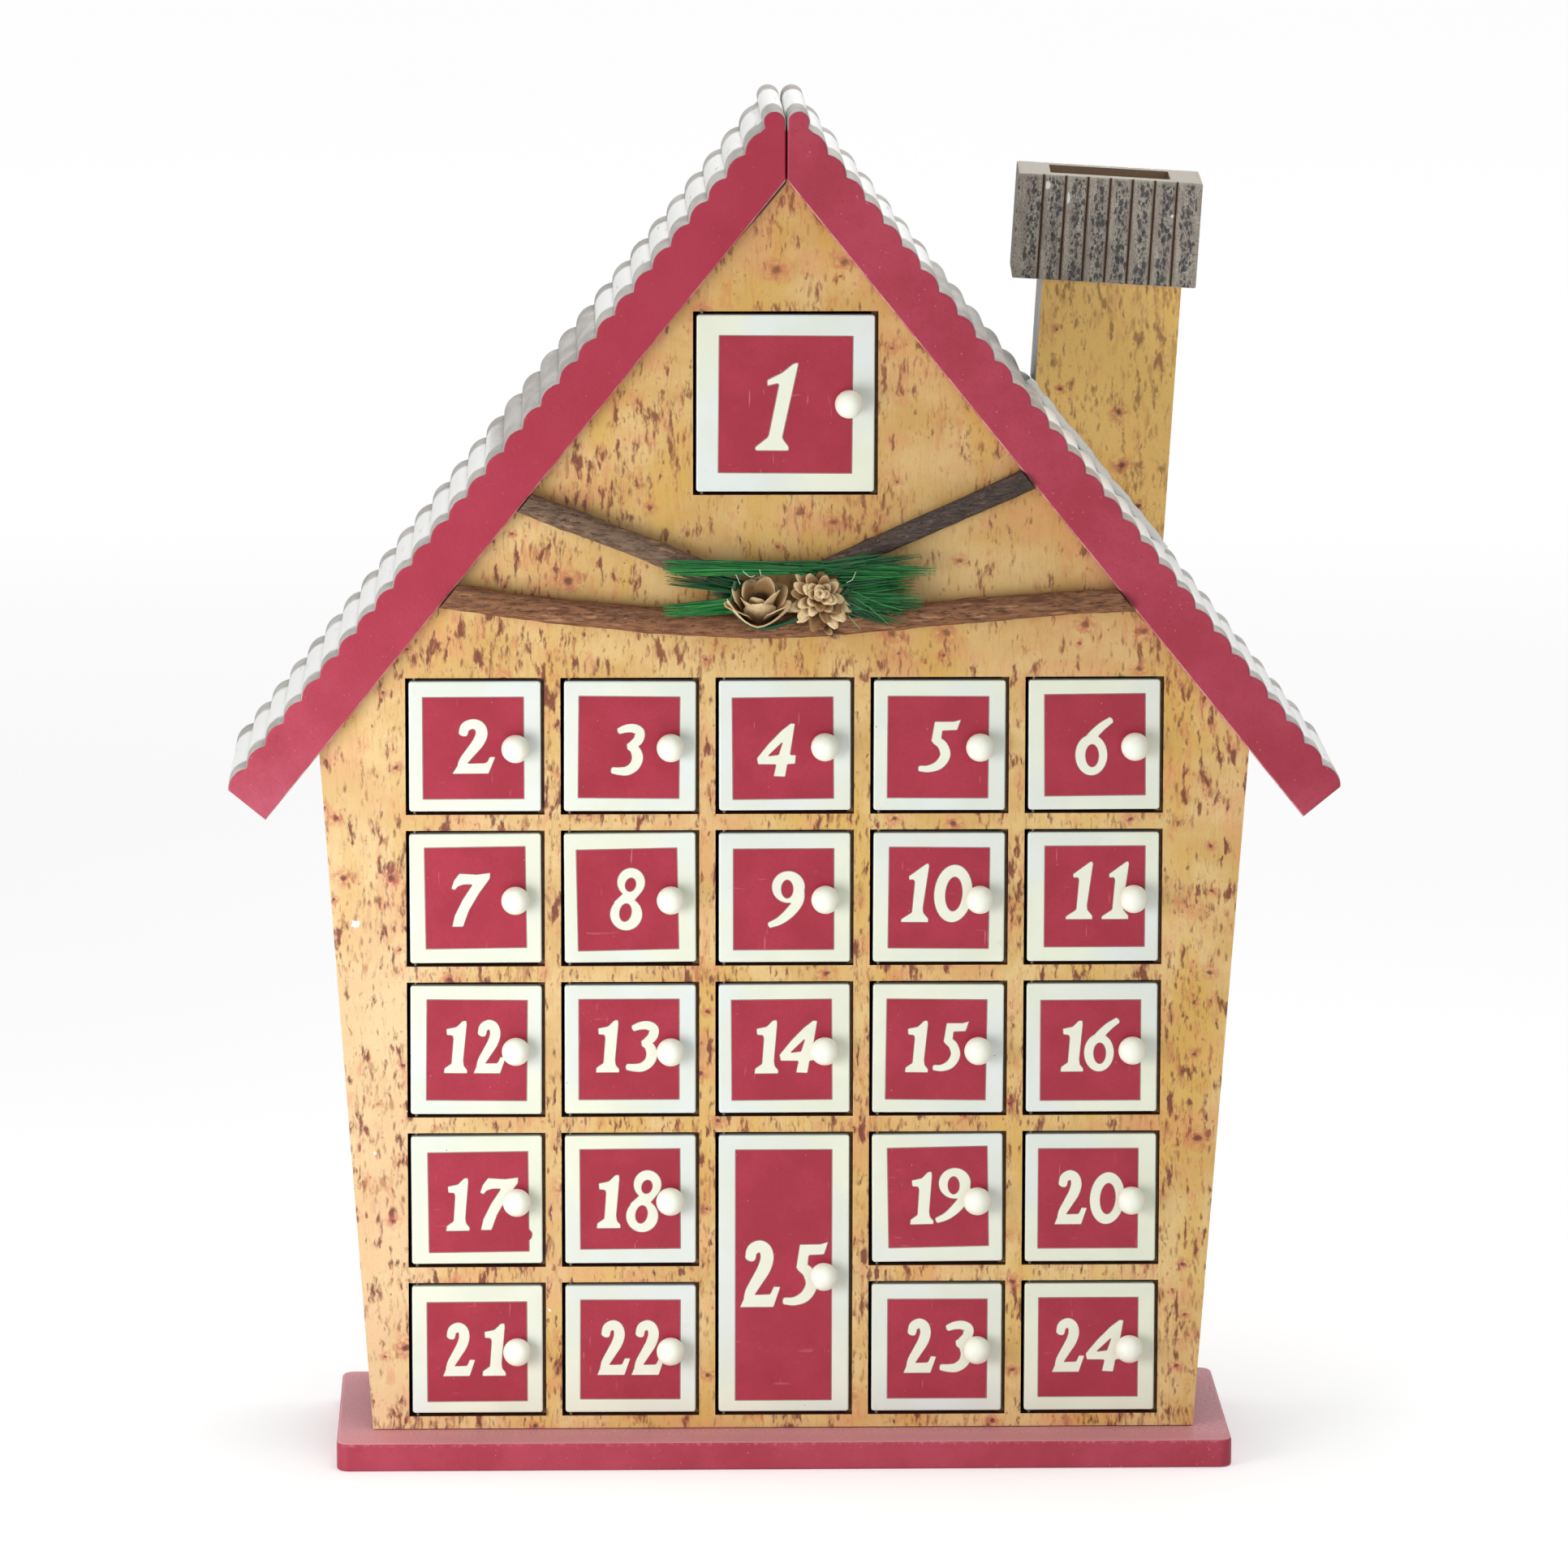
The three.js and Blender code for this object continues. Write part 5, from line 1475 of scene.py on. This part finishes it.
def cone_scale(gather, root, outward, across, inward, shape, finish, tone):
    """One woody scale: narrow at its root, dished towards inward, with a rounded lip curled back."""
    length, width, cup, curl = shape
    thick, swell, inner_tone, outer_tone = finish
    normal = across.cross(outward).normalized()
    if normal.dot(inward) < 0:
        normal = -normal
    rows, columns = 8, 10
    inner, outer, inner_tones, outer_tones = [], [], [], []
    for row in range(rows + 1):
        v = row / rows
        half = width / 2 * (0.3 + 0.7 * math.sin(math.pi / 2 * min(1.0, 0.15 + 1.1 * v)) ** 1.2)
        for column in range(columns + 1):
            u = 2 * column / columns - 1
            ragged = 0.05 * noise.noise(root * 0.7 + Vector((u * 3.1, 0, 4.0)))
            round_off = length * (0.24 * (u ** 2) * v ** 2 + 0.12 * u ** 6 * v + ragged * v)
            along = outward * (length * v - round_off)
            lift = cup * width * abs(u) ** 1.7 * (0.35 + 0.65 * v) - curl * length * max(0.0, v - 0.55) ** 2
            lift += 0.12 * noise.noise(root * 0.9 + Vector((u * 2.2, v * 2.5, 0)))
            point = root + along + across * (u * half) + normal * lift
            body = thick * (1.0 - 0.45 * abs(u) ** 3) * (1.0 + (swell - 1.0) * v) * (1.0 - 0.6 * v ** 8)
            inner.append(point + normal * body / 2)
            outer.append(point - normal * body / 2)
            # Tones run from dark at the scale's root, painted shade deep between the scales, to its pale lip
            # and rims.
            light = 0.1 + 0.32 * max(abs(u) ** 4, v ** 4) * v
            inner_tones.append(tone * (light + 0.62 * v) * inner_tone)
            outer_tones.append(tone * (light + 0.62 * v ** 0.5) * outer_tone)
    wide = columns + 1
    faces = []
    total = len(inner)
    for row in range(rows):
        for column in range(columns):
            a = row * wide + column
            quad = (a, a + 1, a + wide + 1, a + wide)
            faces.append(quad)
            faces.append(tuple(total + index for index in reversed(quad)))
    border = list(range(wide))
    border += [row * wide + columns for row in range(1, rows + 1)]
    border += [rows * wide + column for column in range(columns - 1, -1, -1)]
    border += [row * wide for row in range(rows - 1, 0, -1)]
    for index, here in enumerate(border):
        after = border[(index + 1) % len(border)]
        faces.append((after, here, total + here, total + after))
    gather.take(inner + outer, faces, inner_tones + outer_tones)


def cone_core(gather, centre, axis, radius, length):
    """The spindle that the scales grow from."""
    side = axis.orthogonal().normalized()
    other = axis.cross(side)
    rings = []
    for step in range(9):
        t = step / 8
        reach = radius * (math.sin(math.pi * (0.08 + 0.84 * t)) ** 0.6)
        middle = centre + axis * length * (t - 0.5)
        rings.append([middle + (side * math.cos(angle) + other * math.sin(angle)) * reach
                      for angle in turns(14)])
    vertices, faces = loft(rings)
    gather.take(vertices, faces, [CORE_TONE] * len(vertices))


def build_cone(name, node, look, centre, axis, scales, finish, seed, loose=1.0, strays=()):
    """Scales round an axis, each shifted a little by chance, and strays at places of their own.

    The finish is a scale's thickness, its swelling to the lip, and its inner and outer tone.
    """
    chance = random.Random(seed)
    centre = Vector(centre)
    axis = Vector(axis).normalized()
    for down in (Vector((0, -1, 0)), Vector((0, 0, -1))):
        front = down - axis * axis.dot(down)
        if front.length >= 0.45:
            break
    front.normalize()
    side = front.cross(axis).normalized()
    if side.x < 0:
        side = -side
    gather = Gather()
    cone_core(gather, centre, axis, *CONE_CORE)
    for turn, along, off_axis, spread, length, width, cup, curl in scales:
        angle = math.radians(turn + chance.uniform(-5, 5) * loose)
        radial = front * math.cos(angle) + side * math.sin(angle)
        across = axis.cross(radial).normalized()
        lean = math.radians(spread + chance.uniform(-4, 4) * loose)
        outward = (axis * math.cos(lean) + radial * math.sin(lean)).normalized()
        root = centre + axis * along + radial * off_axis
        length *= 1 - chance.uniform(-0.05, 0.07) * loose
        width *= chance.uniform(0.88, 1.05)
        tone = 1.0 - chance.uniform(-0.08, 0.2) * loose
        cone_scale(gather, root, outward, across, axis, (length, width, cup, curl), finish, tone)
    for place, direction, across, length, width in strays:
        cone_scale(gather, Vector(place), Vector(direction).normalized(), Vector(across).normalized(),
                   Vector((0, -1, 0)), (length, width, 0.2, 0.6), finish, 0.7)
    piece = add_piece(name, gather.vertices, gather.faces, look, slot="cone", tones=gather.tones,
                      sharp=70)
    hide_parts(node)


# Camera, from the photograph's perspective
CAMERA_AT = (-74.4, -2684.0, 699.7)
CAMERA_YAW = math.radians(1.6)
CAMERA_PITCH = math.radians(10.348)
CAMERA_ROLL = math.radians(0.113)
CAMERA_LENS = 199.9
CAMERA_SENSOR = 36
CAMERA_REACH = (0.1, 60)  # metres

WORLD_LIGHT = 0.26
FLOOR_HALF = 14.0  # metres
# Glow of the floor as the camera sees it, near the house and far from it, and where it changes
FLOOR_GLOW = (0.3, 0.72)
FLOOR_GLOW_FROM = (300.0, 2600.0)
LAMP_AIM = Vector((0, 0, 0.2))  # metres
# Lamps: name, place and side in metres, power in watts
LAMPS = [
    ("key_lamp", (-0.48, -0.5, 0.17), 0.4, 3.45),
    ("fill_lamp", (0.8, -1.9, 0.8), 1.3, 6.8),
    ("top_lamp", (0.15, 0.15, 1.6), 1.2, 15.0),
]


def build_camera():
    forward = Vector((math.sin(CAMERA_YAW) * math.cos(CAMERA_PITCH),
                      math.cos(CAMERA_YAW) * math.cos(CAMERA_PITCH), -math.sin(CAMERA_PITCH)))
    level = Vector((math.cos(CAMERA_YAW), -math.sin(CAMERA_YAW), 0))
    upright = level.cross(forward)
    right = level * math.cos(CAMERA_ROLL) + upright * math.sin(CAMERA_ROLL)
    up = upright * math.cos(CAMERA_ROLL) - level * math.sin(CAMERA_ROLL)
    data = bpy.data.cameras.new("photo_camera")
    data.sensor_width = CAMERA_SENSOR
    data.lens = CAMERA_LENS
    data.clip_start, data.clip_end = CAMERA_REACH
    camera = bpy.data.objects.new("photo_camera", data)
    turned = Matrix((right, up, -forward)).transposed().to_4x4()
    camera.matrix_world = Matrix.Translation(Vector(CAMERA_AT) * MM) @ turned
    scene.collection.objects.link(camera)
    scene.camera = camera


def background_rays(tree):
    """One for the camera's rays and for reflections, which both show the background."""
    path = tree.nodes.new("ShaderNodeLightPath")
    either = tree.nodes.new("ShaderNodeMath")
    either.operation = "MAXIMUM"
    tree.links.new(path.outputs["Is Camera Ray"], either.inputs[0])
    tree.links.new(path.outputs["Is Glossy Ray"], either.inputs[1])
    return either.outputs[0]


def build_surround():
    """A world that is white where it is seen and lights the house softly."""
    world = bpy.data.worlds.new("surround")
    scene.world = world
    world.use_nodes = True
    tree = world.node_tree
    background = tree.nodes["Background"]
    background.inputs["Color"].default_value = (1, 1, 1, 1)
    strength = tree.nodes.new("ShaderNodeMapRange")
    strength.inputs["To Min"].default_value = WORLD_LIGHT
    strength.inputs["To Max"].default_value = 1.0
    tree.links.new(background_rays(tree), strength.inputs["Value"])
    tree.links.new(strength.outputs[0], background.inputs["Strength"])


def floor_look():
    """Pale paint with a glow where it is seen, which grows away from the house."""
    look = Look("pale_floor", 0.9, 0.1)
    look.done(look.mix(srgb(243, 243, 243), srgb(247, 247, 247), look.noise(0.002, 2)))
    glow = look.tree.nodes.new("ShaderNodeEmission")
    away = look.vector("LENGTH", look.place, (0, 0, 0), "Value")
    strength = look.step(away, *FLOOR_GLOW_FROM, *FLOOR_GLOW)
    look.put(glow.inputs["Strength"], look.times(background_rays(look.tree), strength))
    both = look.tree.nodes.new("ShaderNodeAddShader")
    look.put(both.inputs[0], look.shader.outputs[0])
    look.put(both.inputs[1], glow.outputs[0])
    look.put(look.tree.nodes["Material Output"].inputs["Surface"], both.outputs[0])
    return look.material


def build_floor(material):
    mesh = bpy.data.meshes.new("floor")
    corners = [(-1, -1), (1, -1), (1, 1), (-1, 1)]
    mesh.from_pydata([(x * FLOOR_HALF, y * FLOOR_HALF, 0) for x, y in corners], [], [(0, 1, 2, 3)])
    mesh.materials.append(material)
    floor = bpy.data.objects.new("floor", mesh)
    scene.collection.objects.link(floor)


def build_lamps():
    for name, place, size, power in LAMPS:
        data = bpy.data.lights.new(name, "AREA")
        data.size = size
        data.energy = power
        lamp = bpy.data.objects.new(name, data)
        lamp.location = place
        lamp.rotation_euler = (LAMP_AIM - lamp.location).to_track_quat("-Z", "Y").to_euler()
        scene.collection.objects.link(lamp)


def dress(names, material):
    for name in names:
        data = nodes[name].data
        data.materials.clear()
        data.materials.append(material)


def build_everything():
    build_camera()
    build_surround()
    build_floor(floor_look())
    build_lamps()
    build_base(base_look())
    build_roof(-1, "roof_left_board", "roof_left", roof_look(-1))
    build_roof(1, "roof_right_board", "roof_right", roof_look(1))
    build_cap(cap_look())
    dress(["front_panel"], panel_look())
    dress(["chimney_shaft"], shaft_look())
    dress(["side_wall_left", "side_wall_right"], wall_look())
    inner = [name for name in nodes if name.startswith(("shelf_", "divider_", "gable_"))]
    dress(inner + ["back_panel"], raw_board_look())
    build_doors({"cream": cream_look(), "field": field_look(), "line": outline_look(),
                 "number": number_look(), "knob": knob_look(), "wire": wire_look()})
    for twig in TWIGS:
        build_twig(*twig)
    build_sprig(needle_look())
    scales = cone_look()
    build_cone("cone_left", "pinecone_left", scales, LEFT_CONE_AT, LEFT_CONE_AXIS, LEFT_SCALES,
               LEFT_FINISH, 3)
    build_cone("cone_right", "pinecone_right", scales, RIGHT_CONE_AT, RIGHT_CONE_AXIS, spiral_scales(),
               RIGHT_FINISH, 5, RIGHT_LOOSE, RIGHT_STRAYS)
    build_foot_snow(flock_look())


build_everything()
